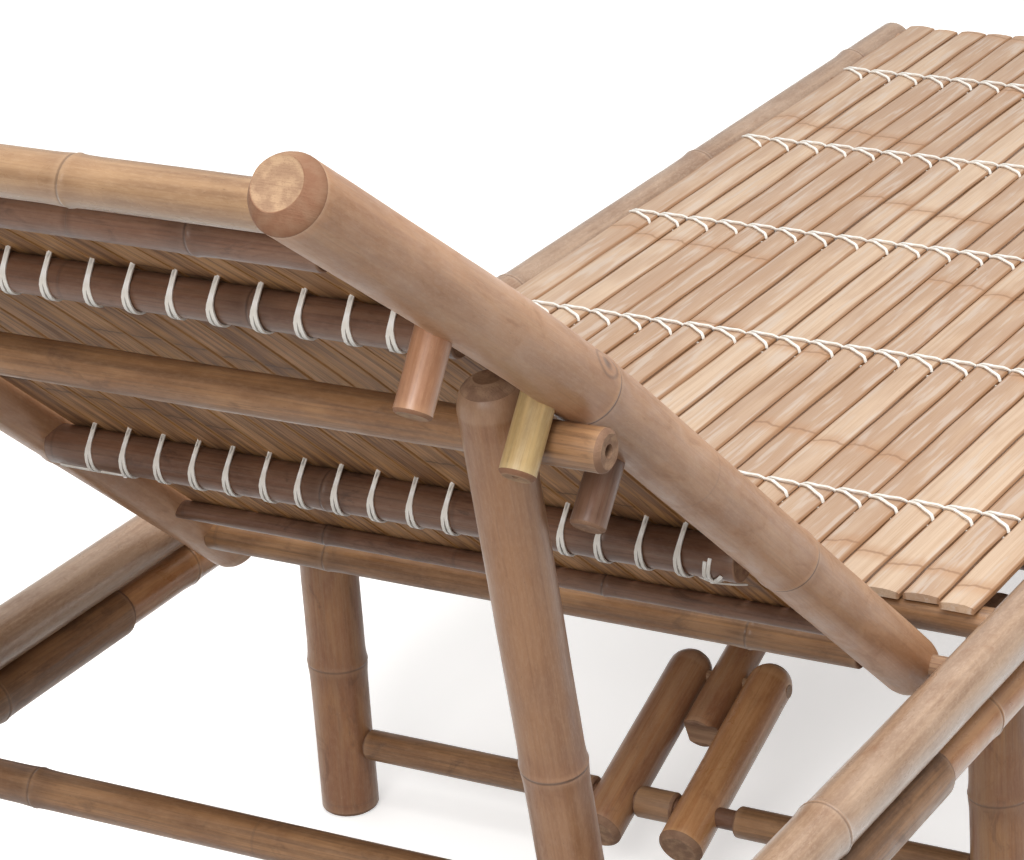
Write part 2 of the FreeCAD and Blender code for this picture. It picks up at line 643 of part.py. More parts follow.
for end, y in leg_places.items():
    foot, way, reach = stay_frame(end)
    knee = foot + way * plain("fork_knee_reach")
    joint_points[end] = (y, foot, knee)
    stretcher_z = plain("stretcher_height")
    tenon_depth = 0.6 * plain("leg_diameter")
    stretcher_length = 2 * (leg_x - plain("leg_diameter") / 2 + tenon_depth)
    stretcher = rod(end + "_stretcher", cell("stretcher_diameter") / 2, Size(stretcher_length, repr(stretcher_length)), (-stretcher_length / 2, y, stretcher_z), (1, 0, 0))
    keep(end + "_stretcher", stretcher)
    for hand, side in sides():
        radius = cell("leg_diameter") / 2
        length = Size(leg_height, repr(leg_height)) + radius
        leg = culm("%s_leg_%s_pole" % (end, hand), length, radius, ("rasped", "dome"), [cell("ring_offset") * 1.15])
        lay(leg, (side * leg_x, y, 0), (0, 0, 1))
        through = cell("leg_diameter") + 2
        edge = side * (leg_x - through.number / 2)
        bores = [rod("%s_axle_bore_%s" % (end, hand), cell("leg_axle_diameter") / 2 + cell("running_gap"), through, (edge, y, lower_rail_z), (side, 0, 0))]
        depth = Size(tenon_depth + 1, repr(tenon_depth + 1))
        inner = side * (leg_x - plain("leg_diameter") / 2 - 1)
        bores.append(rod("%s_stretcher_seat_%s" % (end, hand), cell("stretcher_diameter") / 2 + cell("fixed_gap"), depth, (inner, y, stretcher_z), (side, 0, 0)))
        keep("%s_leg_%s" % (end, hand), bored("%s_leg_%s" % (end, hand), leg, bores))

    # Sleeves on the stretcher keep the fork in the middle; the right one stops short of its arm.
    arm_half = plain("fork_arm_diameter") / 2
    leg_face = leg_x - plain("leg_diameter") / 2 - plain("touch_gap")
    arm_out = fork_x + arm_half + plain("touch_gap")
    arm_in = fork_x - arm_half - plain("touch_gap")
    spans = [(-leg_face, -arm_out), (-arm_in, arm_in), (arm_out + plain("sleeve_near_gap"), leg_face)]
    tubes = []
    for number, (low_x, high_x) in enumerate(spans):
        span = Size(high_x - low_x, repr(high_x - low_x))
        outer = rod("%s_sleeve_outer_%d" % (end, number), cell("sleeve_diameter") / 2, span, (low_x, y, stretcher_z), (1, 0, 0))
        inner = rod("%s_sleeve_bore_%d" % (end, number), cell("stretcher_diameter") / 2 + cell("fixed_gap"), span + 2, (low_x - 1, y, stretcher_z), (1, 0, 0))
        tubes.append(bored("%s_sleeve_%d" % (end, number), outer, [inner]))
    sleeves = doc.addObject("Part::Compound", end + "_sleeves")
    sleeves.Links = tubes
    keep(end + "_sleeves", sleeves)

    # Fork arms, bored for the stretcher and the knee pin.
    for hand, side in sides():
        length = cell("fork_tail") + cell("fork_knee_reach") + cell("fork_arm_diameter") / 2
        arm = culm("%s_fork_arm_%s" % (end, hand), length, cell("fork_arm_diameter") / 2, ("rasped", "dome"))
        x = side * fork_x
        lay(arm, foot + FreeCAD.Vector(x, 0, 0) - way * plain("fork_tail"), way)
        through = cell("fork_arm_diameter") + 2
        edge = x - side * through.number / 2
        bores = [rod("%s_fork_bore_%s" % (end, hand), cell("stretcher_diameter") / 2 + cell("running_gap"), through, (edge, foot.y, foot.z), (side, 0, 0))]
        bores.append(rod("%s_knee_seat_%s" % (end, hand), cell("knee_pin_diameter") / 2 + cell("fixed_gap"), through, (edge, knee.y, knee.z), (side, 0, 0)))
        keep("%s_fork_arm_%s" % (end, hand), bored("%s_fork_arm_%s" % (end, hand), arm, bores))
    pin_length = cell("fork_spacing") + cell("fork_arm_diameter")
    keep(end + "_knee_pin", rod(end + "_knee_pin", cell("knee_pin_diameter") / 2, pin_length, (-pin_length.number / 2, knee.y, knee.z), (1, 0, 0)))

    # The tongue: fish-mouthed at its tail, bored at the knee, its tip just under the cross pole.
    tongue_length = reach - plain("fork_knee_reach") + plain("tongue_tip") + plain("tongue_tail")
    tongue = culm(end + "_tongue", Size(tongue_length, repr(tongue_length)), cell("tongue_diameter") / 2, ("square", "rasped"))
    tail = knee - way * plain("tongue_tail")
    lay(tongue, tail, way)
    bore_length = cell("tongue_diameter") + 2
    bore = rod(end + "_knee_bore", cell("knee_pin_diameter") / 2 + cell("running_gap"), bore_length, (-bore_length.number / 2, knee.y, knee.z), (1, 0, 0))
    mouth_at = tail - way * plain("fish_mouth_diameter") / 4
    mouth = rod(end + "_fish_mouth", cell("fish_mouth_diameter") / 2, bore_length, (-bore_length.number / 2, mouth_at.y, mouth_at.z), (1, 0, 0))
    keep(end + "_tongue", bored(end + "_tongue", tongue, [bore, mouth]))

doc.recompute()


# The origin goes on the floor, midway between the backrest's top end and the rails' foot end.

top_point, top_way, top_up = back_frame(plain("stile_lower_length") + plain("stile_upper_length"))
top_radius = plain("stile_diameter") / 2
bevel = plain("rasped_bevel")
top_face = top_point[0] - (top_radius - bevel) * abs(top_up[0])
top_rim = top_point[0] - top_way[0] * bevel - top_radius * abs(top_up[0])
shift = -(min(top_face, top_rim) + foot_end) / 2
for name, piece in nodes.items():
    move = FreeCAD.Placement(FreeCAD.Vector(0, shift, 0), FreeCAD.Rotation())
    piece.Placement = move.multiply(piece.Placement)
doc.recompute()

for piece in doc.Objects:
    if "Invalid" in piece.State or "Error" in piece.State:
        raise RuntimeError("%s failed: %s" % (piece.Name, piece.State))
for name, piece in nodes.items():
    if piece.Shape.isNull() or not piece.Shape.isValid():
        raise RuntimeError("%s has no valid shape" % name)

os.makedirs("parts", exist_ok=True)
for name, piece in nodes.items():
    piece.Shape.exportStep("parts/%s.step" % name)

print("nodes", len(nodes), "shift", round(shift, 3))
print("hinge", shift, rail_z, "prop", prop_foot[1] + shift, rail_z, "bar", bar_point[1] + shift, bar_point[2])
for end, (y, foot, knee) in joint_points.items():
    print(end, y + shift, lower_rail_z, foot.y + shift, foot.z, knee.y + shift, knee.z)
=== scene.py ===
import bpy
import math
import random
from mathutils import Euler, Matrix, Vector, noise


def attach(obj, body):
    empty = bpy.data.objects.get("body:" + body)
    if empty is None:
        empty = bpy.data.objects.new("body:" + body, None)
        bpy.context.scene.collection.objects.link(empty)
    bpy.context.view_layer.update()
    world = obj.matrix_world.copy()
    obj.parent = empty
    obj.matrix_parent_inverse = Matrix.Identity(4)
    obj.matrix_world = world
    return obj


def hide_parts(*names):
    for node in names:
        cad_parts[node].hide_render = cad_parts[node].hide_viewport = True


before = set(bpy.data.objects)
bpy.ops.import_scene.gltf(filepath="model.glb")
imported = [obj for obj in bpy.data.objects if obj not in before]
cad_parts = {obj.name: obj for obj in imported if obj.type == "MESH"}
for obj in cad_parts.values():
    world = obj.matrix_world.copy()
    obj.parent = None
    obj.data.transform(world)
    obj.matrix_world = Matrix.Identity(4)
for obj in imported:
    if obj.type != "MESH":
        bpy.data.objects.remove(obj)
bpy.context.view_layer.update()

print("frame loaded:", len(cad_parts), "nodes")

# Sizes are in millimetres, with Y 0 at the hinge pins, and toRow brings a point into the row frame.
frameSizes = {
    "rowShift": -298.5206,      # Y of the hinge pins in the row frame
    "railX": 307.0, "railZ": 282.0, "lowerRailZ": 245.7,
    "railInnerX": 289.0, "lowerInnerX": 292.0,
    "stileX": 260.0, "stileInnerX": 240.0,
    "pegX": 251.0, "propX": 220.5, "legX": 266.5, "forkX": 33.0,
    "seatRows": (176.0, 422.0, 643.0, 854.0, 1067.0),
}
across = Vector((1, 0, 0))


def toRow(point):
    return Vector((point[0], point[1] + frameSizes["rowShift"], point[2])) * 0.001


def linear(text):
    # sRGB hex to the linear colour that the shaders want
    parts = [int(text[at:at + 2], 16) / 255 for at in (1, 3, 5)]
    return tuple([part / 12.92 if part <= 0.04045 else ((part + 0.055) / 1.055) ** 2.4 for part in parts] + [1.0])


def feed(tree, node, inputs):
    # a socket is linked, and any other value is set
    for key, value in inputs.items():
        if isinstance(value, bpy.types.NodeSocket):
            tree.links.new(value, node.inputs[key])
        else:
            node.inputs[key].default_value = value


def addNode(tree, kind, settings=None, inputs=None):
    node = tree.nodes.new(kind)
    for key, value in (settings or {}).items():
        setattr(node, key, value)
    feed(tree, node, inputs or {})
    return node


# Materials, each named for the finish of the real piece

smoothly = {"interpolation_type": "SMOOTHSTEP"}


def startMaterial(name):
    material = bpy.data.materials.new(name)
    material.use_nodes = True
    tree = material.node_tree
    tree.nodes.clear()
    shader = addNode(tree, "ShaderNodeBsdfPrincipled")
    addNode(tree, "ShaderNodeOutputMaterial", inputs={0: shader.outputs[0]})
    return material, tree, shader


def culmSockets(tree):
    # where a point lies in its culm, and its distances to the node, the branch scar and the cut end
    grain, marks = [addNode(tree, "ShaderNodeAttribute", {"attribute_name": label}).outputs["Vector"]
                    for label in ("culmGrain", "culmMarks")]
    return grain, addNode(tree, "ShaderNodeSeparateXYZ", inputs={0: marks}).outputs


def stretchedNoise(tree, vector, wide, long, detail=3.0, offset=0.0, roughness=0.55, distortion=0.0):
    # noise whose grains are about wide mm across the culm and long mm along it
    mapped = addNode(tree, "ShaderNodeMapping",
                     inputs={0: vector, 1: (offset, offset * 0.7, offset * 1.3), 3: (1 / wide, 1 / wide, 1 / long)})
    return addNode(tree, "ShaderNodeTexNoise", inputs={"Vector": mapped.outputs[0], "Scale": 1.0, "Detail": detail,
                                                       "Roughness": roughness, "Distortion": distortion}).outputs[0]


def washed(tree, colour, look, washes):
    # Lays tints over a colour. A wash is (socket it follows, range there, strength at the range's ends, tint's key).
    for source, reach, strength, key in washes:
        share = addNode(tree, "ShaderNodeMapRange", smoothly,
                        {0: source, 1: reach[0], 2: reach[1], 3: strength[0], 4: strength[1]}).outputs[0]
        colour = addNode(tree, "ShaderNodeMix", {"data_type": "RGBA"},
                         {0: share, 6: colour, 7: linear(look[key])}).outputs[2]
    return colour


def weighted(tree, parts, total=0.0):
    # the parts added up, each times its weight
    for source, weight in parts:
        total = addNode(tree, "ShaderNodeMath", {"operation": "MULTIPLY_ADD"},
                        {0: source, 1: weight, 2: total}).outputs[0]
    return total


skinDefaults = {"film": 0.16, "fleck": 0.35, "pale": 0.22, "dusk": 0.2, "line": 0.5, "wear": 0.3, "bump": 0.35,
                "coat": 0.1, "shine": 0.32}


def bambooSkin(name, look):
    # Dried bamboo culm, oiled and rubbed: a satin skin, fine fibre streaks along it, a dark line at each node.
    look = {**skinDefaults, **look}
    material, tree, shader = startMaterial(name)
    grain, (toNode, toScar, toEnd) = culmSockets(tree)
    fibre = stretchedNoise(tree, grain, 1.1, 60.0, 4.0)                # fibre bundles are about 1 mm apart
    strand = stretchedNoise(tree, grain, 4.0, 170.0, 3.0, 31.0)
    cloud = stretchedNoise(tree, grain, 26.0, 85.0, 3.0, 57.0, 0.6, 0.4)
    patch = stretchedNoise(tree, grain, 15.0, 32.0, 4.0, 91.0, 0.65, 0.8)
    fleck = stretchedNoise(tree, grain, 1.1, 3.4, 2.0, 13.0)
    fuzz = stretchedNoise(tree, grain, 1.6, 5.0, 4.0, 71.0, 0.7)       # the felty film left on unpolished skin
    gap = addNode(tree, "ShaderNodeMath", {"operation": "ABSOLUTE"}, {0: toNode}).outputs[0]
    fromRim = addNode(tree, "ShaderNodeMath", {"operation": "SUBTRACT"}, {0: toScar, 1: 7.1}).outputs[0]
    rimGap = addNode(tree, "ShaderNodeMath", {"operation": "ABSOLUTE"}, {0: fromRim}).outputs[0]
    colour = washed(tree, linear(look["low"]), look, (
        (cloud, (0.32, 0.68), (0.0, 1.0), "high"),
        (strand, (0.4, 0.66), (0.0, look["strand"]), "strandColour"),
        (fibre, (0.45, 0.72), (0.0, look["fibre"]), "fibreColour"),
        (patch, (0.56, 0.7), (0.0, look["patch"]), "patchColour"),
        (fuzz, (0.42, 0.7), (0.0, look["film"]), "paleColour"),
        (fleck, (0.68, 0.78), (0.0, look["fleck"]), "fleckColour"),
        (gap, (1.2, 5.5), (look["pale"], 0.0), "paleColour"),
        (gap, (4.0, 26.0), (look["dusk"], 0.0), "patchColour"),
        (gap, (0.35, 1.25), (look["line"], 0.0), "lineColour"),
        (toScar, (1.5, 4.5), (0.75, 0.0), "lineColour"),
        (rimGap, (0.1, 1.5), (0.45, 0.0), "lineColour"),
        (toEnd, (0.0, 7.0), (look["wear"], 0.0), "paleColour"),       # the skin is rubbed pale next to a cut
    ))
    bump = addNode(tree, "ShaderNodeBump", inputs={"Strength": look["bump"], "Distance": 0.0006,
                                                   "Height": weighted(tree, ((fibre, 0.5), (patch, 0.6), (fuzz, 0.6)))})
    gloss = addNode(tree, "ShaderNodeMapRange", smoothly,
                    {0: patch, 1: 0.3, 2: 0.7, 3: look["rough"] - 0.06, 4: look["rough"] + 0.12}).outputs[0]
    feed(tree, shader, {"Base Color": colour, "Roughness": gloss, "Normal": bump.outputs[0],
                        "Coat Weight": look["coat"], "Specular IOR Level": look["shine"], "Coat Roughness": 0.28})
    return material


def bambooCut(name, look):
    # Sawn and rasped bamboo end grain: matt, dotted with fibre ends, darker where the rasp broke the rim.
    material, tree, shader = startMaterial(name)
    grain, marks = culmSockets(tree)
    flat = addNode(tree, "ShaderNodeMapping", inputs={0: grain, 3: (1.0, 1.0, 0.05)}).outputs[0]
    sawn = addNode(tree, "ShaderNodeMapping", inputs={0: grain, 2: (0.0, 0.0, 0.7), 3: (0.12, 1.4, 0.12)}).outputs[0]
    dots = addNode(tree, "ShaderNodeTexVoronoi", inputs={"Vector": flat, "Scale": 0.9}).outputs["Distance"]
    cloud = addNode(tree, "ShaderNodeTexNoise", inputs={"Vector": flat, "Scale": 0.16, "Detail": 3.0}).outputs[0]
    saw = addNode(tree, "ShaderNodeTexNoise", inputs={"Vector": sawn, "Scale": 1.0, "Detail": 2.0}).outputs[0]
    broken = addNode(tree, "ShaderNodeMapRange", smoothly,
                     {0: cloud, 1: 0.3, 2: 0.62, 3: look["rimDark"] * 0.5, 4: look["rimDark"]}).outputs[0]
    colour = washed(tree, linear(look["low"]), look, (
        (cloud, (0.35, 0.65), (0.0, 1.0), "high"),
        (dots, (0.1, 0.34), (0.4, 0.0), "dot"),
        (saw, (0.55, 0.75), (0.0, 0.35), "dot"),
        (marks[2], (0.74, 0.86), (0.0, broken), "rim"),
    ))
    bump = addNode(tree, "ShaderNodeBump", inputs={"Strength": 0.5, "Distance": 0.0004,
                                                   "Height": weighted(tree, ((dots, 0.4),), saw)})
    feed(tree, shader, {"Base Color": colour, "Roughness": 0.78, "Normal": bump.outputs[0]})
    return material


slatDefaults = {"frontPale": 0.0, "frontColour": "#ffffff", "shine": 0.4}


def splitBamboo(name, look):
    # Split bamboo strip, planed thin: straight pith fibres, a darker node band every internode, and a tinted band along
    # each edge, darker brown on the straw strips and a painted golden highlight on the brown ones.
    look = {**slatDefaults, **look}
    material, tree, shader = startMaterial(name)
    grain, _ = culmSockets(tree)
    seed, place = [addNode(tree, "ShaderNodeAttribute", {"attribute_name": label}).outputs["Fac"]
                   for label in ("copySeed", "copyIndex")]
    push = addNode(tree, "ShaderNodeVectorMath", {"operation": "SCALE"}, {0: (913.0, 377.0, 4211.0), "Scale": seed})
    shifted = addNode(tree, "ShaderNodeVectorMath", {"operation": "ADD"}, {0: grain, 1: push.outputs[0]}).outputs[0]
    sideways, level, run = addNode(tree, "ShaderNodeSeparateXYZ", inputs={0: grain}).outputs
    fibre = stretchedNoise(tree, shifted, 0.8, 90.0, 4.0)
    strand = stretchedNoise(tree, shifted, 3.2, 210.0, 3.0, 31.0)
    cloud = stretchedNoise(tree, shifted, 22.0, 120.0, 3.0, 57.0, 0.6, 0.3)
    fleck = stretchedNoise(tree, shifted, 1.4, 10.0, 2.0, 13.0)
    # painted sheen: this streak noise lays pale streaks that stand in for highlights, grey-white on the straw strips
    # and golden on the brown ones
    chalk = stretchedNoise(tree, shifted, 5.0, 75.0, 3.0, 83.0)
    lean = addNode(tree, "ShaderNodeMapRange", smoothly, {0: cloud, 1: 0.35, 2: 0.65, 3: -0.25, 4: 0.25}).outputs[0]
    tone = addNode(tree, "ShaderNodeMath", {"operation": "ADD"}, {0: lean, 1: seed}).outputs[0]
    share = addNode(tree, "ShaderNodeMath", {"operation": "DIVIDE"}, {0: place, 1: 5.3}).outputs[0]
    group = addNode(tree, "ShaderNodeMath", {"operation": "FLOOR"}, {0: share}).outputs[0]    # strips of one culm
    stretch = look["internode"]
    drift = weighted(tree, ((group, 0.43 * stretch), (place, 0.021 * stretch), (seed, 0.03 * stretch)), run)
    turned = addNode(tree, "ShaderNodeMath", {"operation": "WRAP"},
                     {0: drift, 1: stretch / 2, 2: -stretch / 2}).outputs[0]
    slip = addNode(tree, "ShaderNodeMapRange", inputs={0: cloud, 1: 0.2, 2: 0.8, 3: -5.0, 4: 5.0}).outputs[0]
    wobble = addNode(tree, "ShaderNodeMath", {"operation": "ADD"}, {0: turned, 1: slip}).outputs[0]
    gap = addNode(tree, "ShaderNodeMath", {"operation": "ABSOLUTE"}, {0: wobble}).outputs[0]
    offMiddle = addNode(tree, "ShaderNodeMath", {"operation": "ABSOLUTE"}, {0: sideways}).outputs[0]
    edgeWobble = addNode(tree, "ShaderNodeMapRange", inputs={0: strand, 1: 0.3, 2: 0.7, 3: -0.8, 4: 0.8}).outputs[0]
    edge = addNode(tree, "ShaderNodeMath", {"operation": "ADD"}, {0: offMiddle, 1: edgeWobble}).outputs[0]
    half = look["halfWidth"]
    colour = washed(tree, linear(look["low"]), look, (
        (tone, (0.0, 1.0), (0.0, 1.0), "high"),
        (strand, (0.42, 0.66), (0.0, look["strand"]), "strandColour"),
        (fibre, (0.46, 0.72), (0.0, look["fibre"]), "fibreColour"),
        # painted sheen streaks
        (chalk, (0.52, 0.64), (0.0, look["chalk"]), "sheenStreakColour"),
        (gap, (2.0, 16.0), (0.45, 0.0), "bandColour"),
        (gap, (0.6, 2.2), (0.6, 0.0), "lineColour"),
        (fleck, (0.7, 0.8), (0.0, 0.5), "lineColour"),
        # edge band: on the brown strips a painted highlight, a golden tint standing in for light on the edges; on the
        # straw strips a darker brown
        (edge, (half - 2.6, half - 0.6), (0.0, look["edgeTint"]), "edgeColour"),
        (level, (3.0, 4.6), (0.0, look["frontPale"]), "frontColour"),   # the planed side is paler than the rind side
    ))
    ridge = addNode(tree, "ShaderNodeMapRange", smoothly, {0: gap, 1: 1.0, 2: 9.0, 3: 1.2, 4: 0.0}).outputs[0]
    bump = addNode(tree, "ShaderNodeBump", inputs={"Strength": 0.45, "Distance": 0.0006,
                                                   "Height": weighted(tree, ((fibre, 0.6),), ridge)})
    gloss = addNode(tree, "ShaderNodeMapRange", smoothly,
                    {0: fibre, 1: 0.3, 2: 0.7, 3: look["rough"] - 0.05, 4: look["rough"] + 0.1}).outputs[0]
    feed(tree, shader, {"Base Color": colour, "Roughness": gloss, "Normal": bump.outputs[0],
                        "Coat Weight": look["coat"], "Specular IOR Level": look["shine"], "Coat Roughness": 0.35})
    return material


def whiteCord(name, look):
    # Split plastic lacing cord: off-white, slightly shiny, with a lengthwise crease every 0.5 mm or so.
    material, tree, shader = startMaterial(name)
    grain, _ = culmSockets(tree)
    crease = stretchedNoise(tree, grain, 0.5, 14.0, 2.0)
    stain = stretchedNoise(tree, grain, 9.0, 9.0, 2.0, 21.0)
    colour = washed(tree, linear(look["low"]), look, ((stain, (0.4, 0.7), (0.0, 1.0), "high"),
                                                      (crease, (0.5, 0.7), (0.0, 0.35), "crease")))
    bump = addNode(tree, "ShaderNodeBump", inputs={"Strength": 0.5, "Distance": 0.0003, "Height": crease})
    feed(tree, shader, {"Base Color": colour, "Roughness": 0.45, "Normal": bump.outputs[0]})
    return material


def turnedDowel(name, look):
    # Turned hardwood pin: plain close grain, a little greasy from handling, so it reads Object coordinates.
    material, tree, shader = startMaterial(name)
    place = addNode(tree, "ShaderNodeTexCoord").outputs["Object"]
    mapped = addNode(tree, "ShaderNodeMapping", inputs={0: place, 3: look["grainScale"]}).outputs[0]
    grain = addNode(tree, "ShaderNodeTexNoise", inputs={"Vector": mapped, "Scale": 1.0, "Detail": 4.0}).outputs[0]
    colour = washed(tree, linear(look["low"]), look, ((grain, (0.35, 0.65), (0.0, 1.0), "high"),))
    bump = addNode(tree, "ShaderNodeBump", inputs={"Strength": 0.4, "Distance": 0.0003, "Height": grain})
    gloss = addNode(tree, "ShaderNodeMapRange", smoothly, {0: grain, 1: 0.3, 2: 0.7, 3: 0.45, 4: 0.62}).outputs[0]
    feed(tree, shader, {"Base Color": colour, "Roughness": gloss, "Normal": bump.outputs[0]})
    return material


skinLooks = {
    "tanCulmSkin": {
        "low": "#a37553", "high": "#be906d", "strandColour": "#cba077", "strand": 0.22, "fibreColour": "#83614a",
        "fibre": 0.2, "patchColour": "#8a5c3d", "patch": 0.3, "fleckColour": "#5b4030", "fleck": 0.3,
        "paleColour": "#cdb096", "lineColour": "#5a4134", "rough": 0.4, "dusk": 0.2, "line": 0.8, "pale": 0.3,
    },
    "railCulmSkin": {
        "low": "#94755d", "high": "#ad917a", "strandColour": "#c9a98b", "strand": 0.3, "fibreColour": "#87644b",
        "fibre": 0.22, "patchColour": "#875d42", "patch": 0.35, "fleckColour": "#5b4030", "fleck": 0.3,
        "paleColour": "#d3b89f", "lineColour": "#5a4134", "rough": 0.3, "dusk": 0.16, "coat": 0.5, "film": 0.25,
    },
    "propCulmSkin": {
        "low": "#7c563c", "high": "#936b4c", "strandColour": "#ab8565", "strand": 0.25, "fibreColour": "#6d4c39",
        "fibre": 0.25, "patchColour": "#744b34", "patch": 0.35, "fleckColour": "#4e3628", "fleck": 0.3,
        "paleColour": "#b6967b", "lineColour": "#4b3529", "rough": 0.38, "dusk": 0.2, "line": 0.7, "coat": 0.15,
    },
    "legCulmSkin": {
        "low": "#86593d", "high": "#a2754f", "strandColour": "#a98a6b", "strand": 0.3, "fibreColour": "#6a4b39",
        "fibre": 0.28, "patchColour": "#684837", "patch": 0.5, "fleckColour": "#b39478", "fleck": 0.45,
        "paleColour": "#b08f74", "lineColour": "#553c2e", "rough": 0.36, "dusk": 0.2,
    },
    "barkCulmSkin": {
        "low": "#7b5638", "high": "#9c7450", "strandColour": "#59402f", "strand": 0.5, "fibreColour": "#4c3527",
        "fibre": 0.4, "patchColour": "#4e3729", "patch": 0.45, "fleckColour": "#3c2a20", "paleColour": "#a88769",
        "lineColour": "#453024", "rough": 0.4, "dusk": 0.25,
    },
    "goldenCulmSkin": {
        "low": "#99663e", "high": "#b17d52", "strandColour": "#c99d70", "strand": 0.35, "fibreColour": "#8b623f",
        "fibre": 0.25, "patchColour": "#85583a", "patch": 0.35, "fleckColour": "#60412b", "paleColour": "#d0a67a",
        "lineColour": "#5b4029", "rough": 0.3, "coat": 0.4,
    },
    "honeyCulmSkin": {
        "low": "#806044", "high": "#987656", "strandColour": "#b3906b", "strand": 0.35, "fibreColour": "#6f5138",
        "fibre": 0.25, "patchColour": "#755238", "patch": 0.4, "fleckColour": "#4f3828", "paleColour": "#c0a283",
        "lineColour": "#4b3524", "rough": 0.28, "coat": 0.45,
    },
    "darkCulmSkin": {
        "low": "#5c3d2c", "high": "#785541", "strandColour": "#7d6351", "strand": 0.35, "fibreColour": "#3d2b22",
        "fibre": 0.4, "patchColour": "#3b2921", "patch": 0.5, "fleckColour": "#2e211a", "paleColour": "#8d7160",
        "lineColour": "#33241c", "rough": 0.36, "dusk": 0.3, "coat": 0.18, "shine": 0.24,
    },
    "paleCulmSkin": {
        "low": "#bf9f6c", "high": "#d3b683", "strandColour": "#93784f", "strand": 0.4, "fibreColour": "#84693f",
        "fibre": 0.3, "patchColour": "#8d7047", "patch": 0.3, "fleckColour": "#65502f", "paleColour": "#d8c39a",
        "lineColour": "#665039", "rough": 0.42,
    },
    "rosyCulmSkin": {
        "low": "#98694b", "high": "#b18365", "strandColour": "#8f603f", "strand": 0.4, "fibreColour": "#83583b",
        "fibre": 0.3, "patchColour": "#8a5c3f", "patch": 0.3, "fleckColour": "#5f402e", "paleColour": "#cfa27d",
        "lineColour": "#5a3d2c", "rough": 0.38, "coat": 0.3,
    },
}
skins = {name: bambooSkin(name, look) for name, look in skinLooks.items()}
cuts = {
    "paleCutBamboo": bambooCut("paleCutBamboo", {"low": "#927258", "high": "#aa8a6b", "dot": "#7c5b45",
                                                 "rim": "#74482f", "rimDark": 0.85}),
    "brownCutBamboo": bambooCut("brownCutBamboo", {"low": "#7d5d47", "high": "#9a795e", "dot": "#5d4232",
                                                   "rim": "#6a4936", "rimDark": 0.5}),
}
# the grey-white streak colour of the straw strips is painted sheen
strawSlat = splitBamboo("strawSplitBamboo", {
    "low": "#b4947a", "high": "#cfb499", "strandColour": "#b08b69", "strand": 0.35, "fibreColour": "#a07a58",
    "fibre": 0.25, "sheenStreakColour": "#cbbcae", "chalk": 0.5, "bandColour": "#b2835c", "lineColour": "#8a6444",
    "edgeColour": "#96683f", "edgeTint": 0.8, "internode": 310.0, "halfWidth": 12.7, "coat": 0.15, "rough": 0.42,
})
# the golden streak colour of the brown strips is painted sheen
brownSlat = splitBamboo("brownSplitBamboo", {
    "low": "#8c6444", "high": "#cf9f74", "strandColour": "#54392a", "strand": 0.65, "fibreColour": "#432d1e",
    "fibre": 0.5, "sheenStreakColour": "#c4935f", "chalk": 0.6, "bandColour": "#644632", "lineColour": "#3f2c21",
    # the golden edge colour here is a painted highlight along the strips' edges
    "edgeColour": "#b5844f", "edgeTint": 0.6, "internode": 330.0, "halfWidth": 12.4, "rough": 0.6, "coat": 0.0,
    "shine": 0.16, "frontPale": 0.6, "frontColour": "#d1b092",
})
lacingCord = whiteCord("whiteLacingCord", {"low": "#e6e0d6", "high": "#f6f3ee", "crease": "#c9c1b4"})
hingeDowel = turnedDowel("turnedHardwood", {"low": "#7d5c44", "high": "#9c7a5c", "grainScale": (60.0, 900.0, 900.0)})
uprightDowel = turnedDowel("turnedHardwoodUpright", {"low": "#7d5c44", "high": "#9c7a5c",
                                                     "grainScale": (900.0, 900.0, 60.0)})
print("materials made:", len(bpy.data.materials))


# Makers of meshes, which take millimetres

farOff = 99.0                   # mark of a point with no node, branch scar or cut end near it
sharpEdge = 38.0                # degrees between faces from which an edge stays sharp

def finishedObject(name, points, faces, faceSlots, materials, grain, marks, smoothAngle=sharpEdge):
    # points in mm, and the two attributes are kept on the face corners so that a boolean carries them over
    mesh = bpy.data.meshes.new(name)
    mesh.from_pydata([toRow(point) for point in points], [], faces)
    mesh.polygons.foreach_set("material_index", faceSlots)
    mesh.polygons.foreach_set("use_smooth", [True] * len(faces))
    corners = [0] * len(mesh.loops)
    mesh.loops.foreach_get("vertex_index", corners)
    for label, values in (("culmGrain", grain), ("culmMarks", marks)):
        layer = mesh.attributes.new(label, "FLOAT_VECTOR", "CORNER")
        layer.data.foreach_set("vector", [part for corner in corners for part in values[corner]])
    for material in materials:
        mesh.materials.append(material)
    mesh.set_sharp_from_angle(angle=math.radians(smoothAngle))
    mesh.update()
    piece = bpy.data.objects.new(name, mesh)
    bpy.context.scene.collection.objects.link(piece)
    return piece


def straight(start, end):
    start, end = Vector(start), Vector(end)
    way = (end - start).normalized()
    side = Vector((0, 1, 0)) if abs(way.x) > 0.9 else across
    other = way.cross(side).normalized()
    return (lambda station: (start + way * station, side, other)), (end - start).length


nodeShape = {
    "stations": (-14, -9, -6, -4, -2.8, -2.0, -1.4, -0.8, -0.2, 0.4, 1.0, 1.7, 2.6, 4, 6, 9, 14),
    "span": 14.5, "swell": 0.45, "swellWidth": 7.0, "ridge": 0.4, "ridgeAt": 1.5, "ridgeWidth": 1.1, "groove": 0.3,
    "grooveWidth": 0.6,
}
scarShape = {"span": 11.0, "squash": 0.62, "rim": 1.1, "rimWidth": 7.0, "pit": 1.0, "pitWidth": 3.0}


def nodeHeight(gap, swell):
    wide = swell * math.exp(-(gap / nodeShape["swellWidth"]) ** 2)
    ridge = nodeShape["ridge"] * math.exp(-((gap - nodeShape["ridgeAt"]) / nodeShape["ridgeWidth"]) ** 2)
    groove = nodeShape["groove"] * math.exp(-(gap / nodeShape["grooveWidth"]) ** 2)
    return wide + ridge - groove


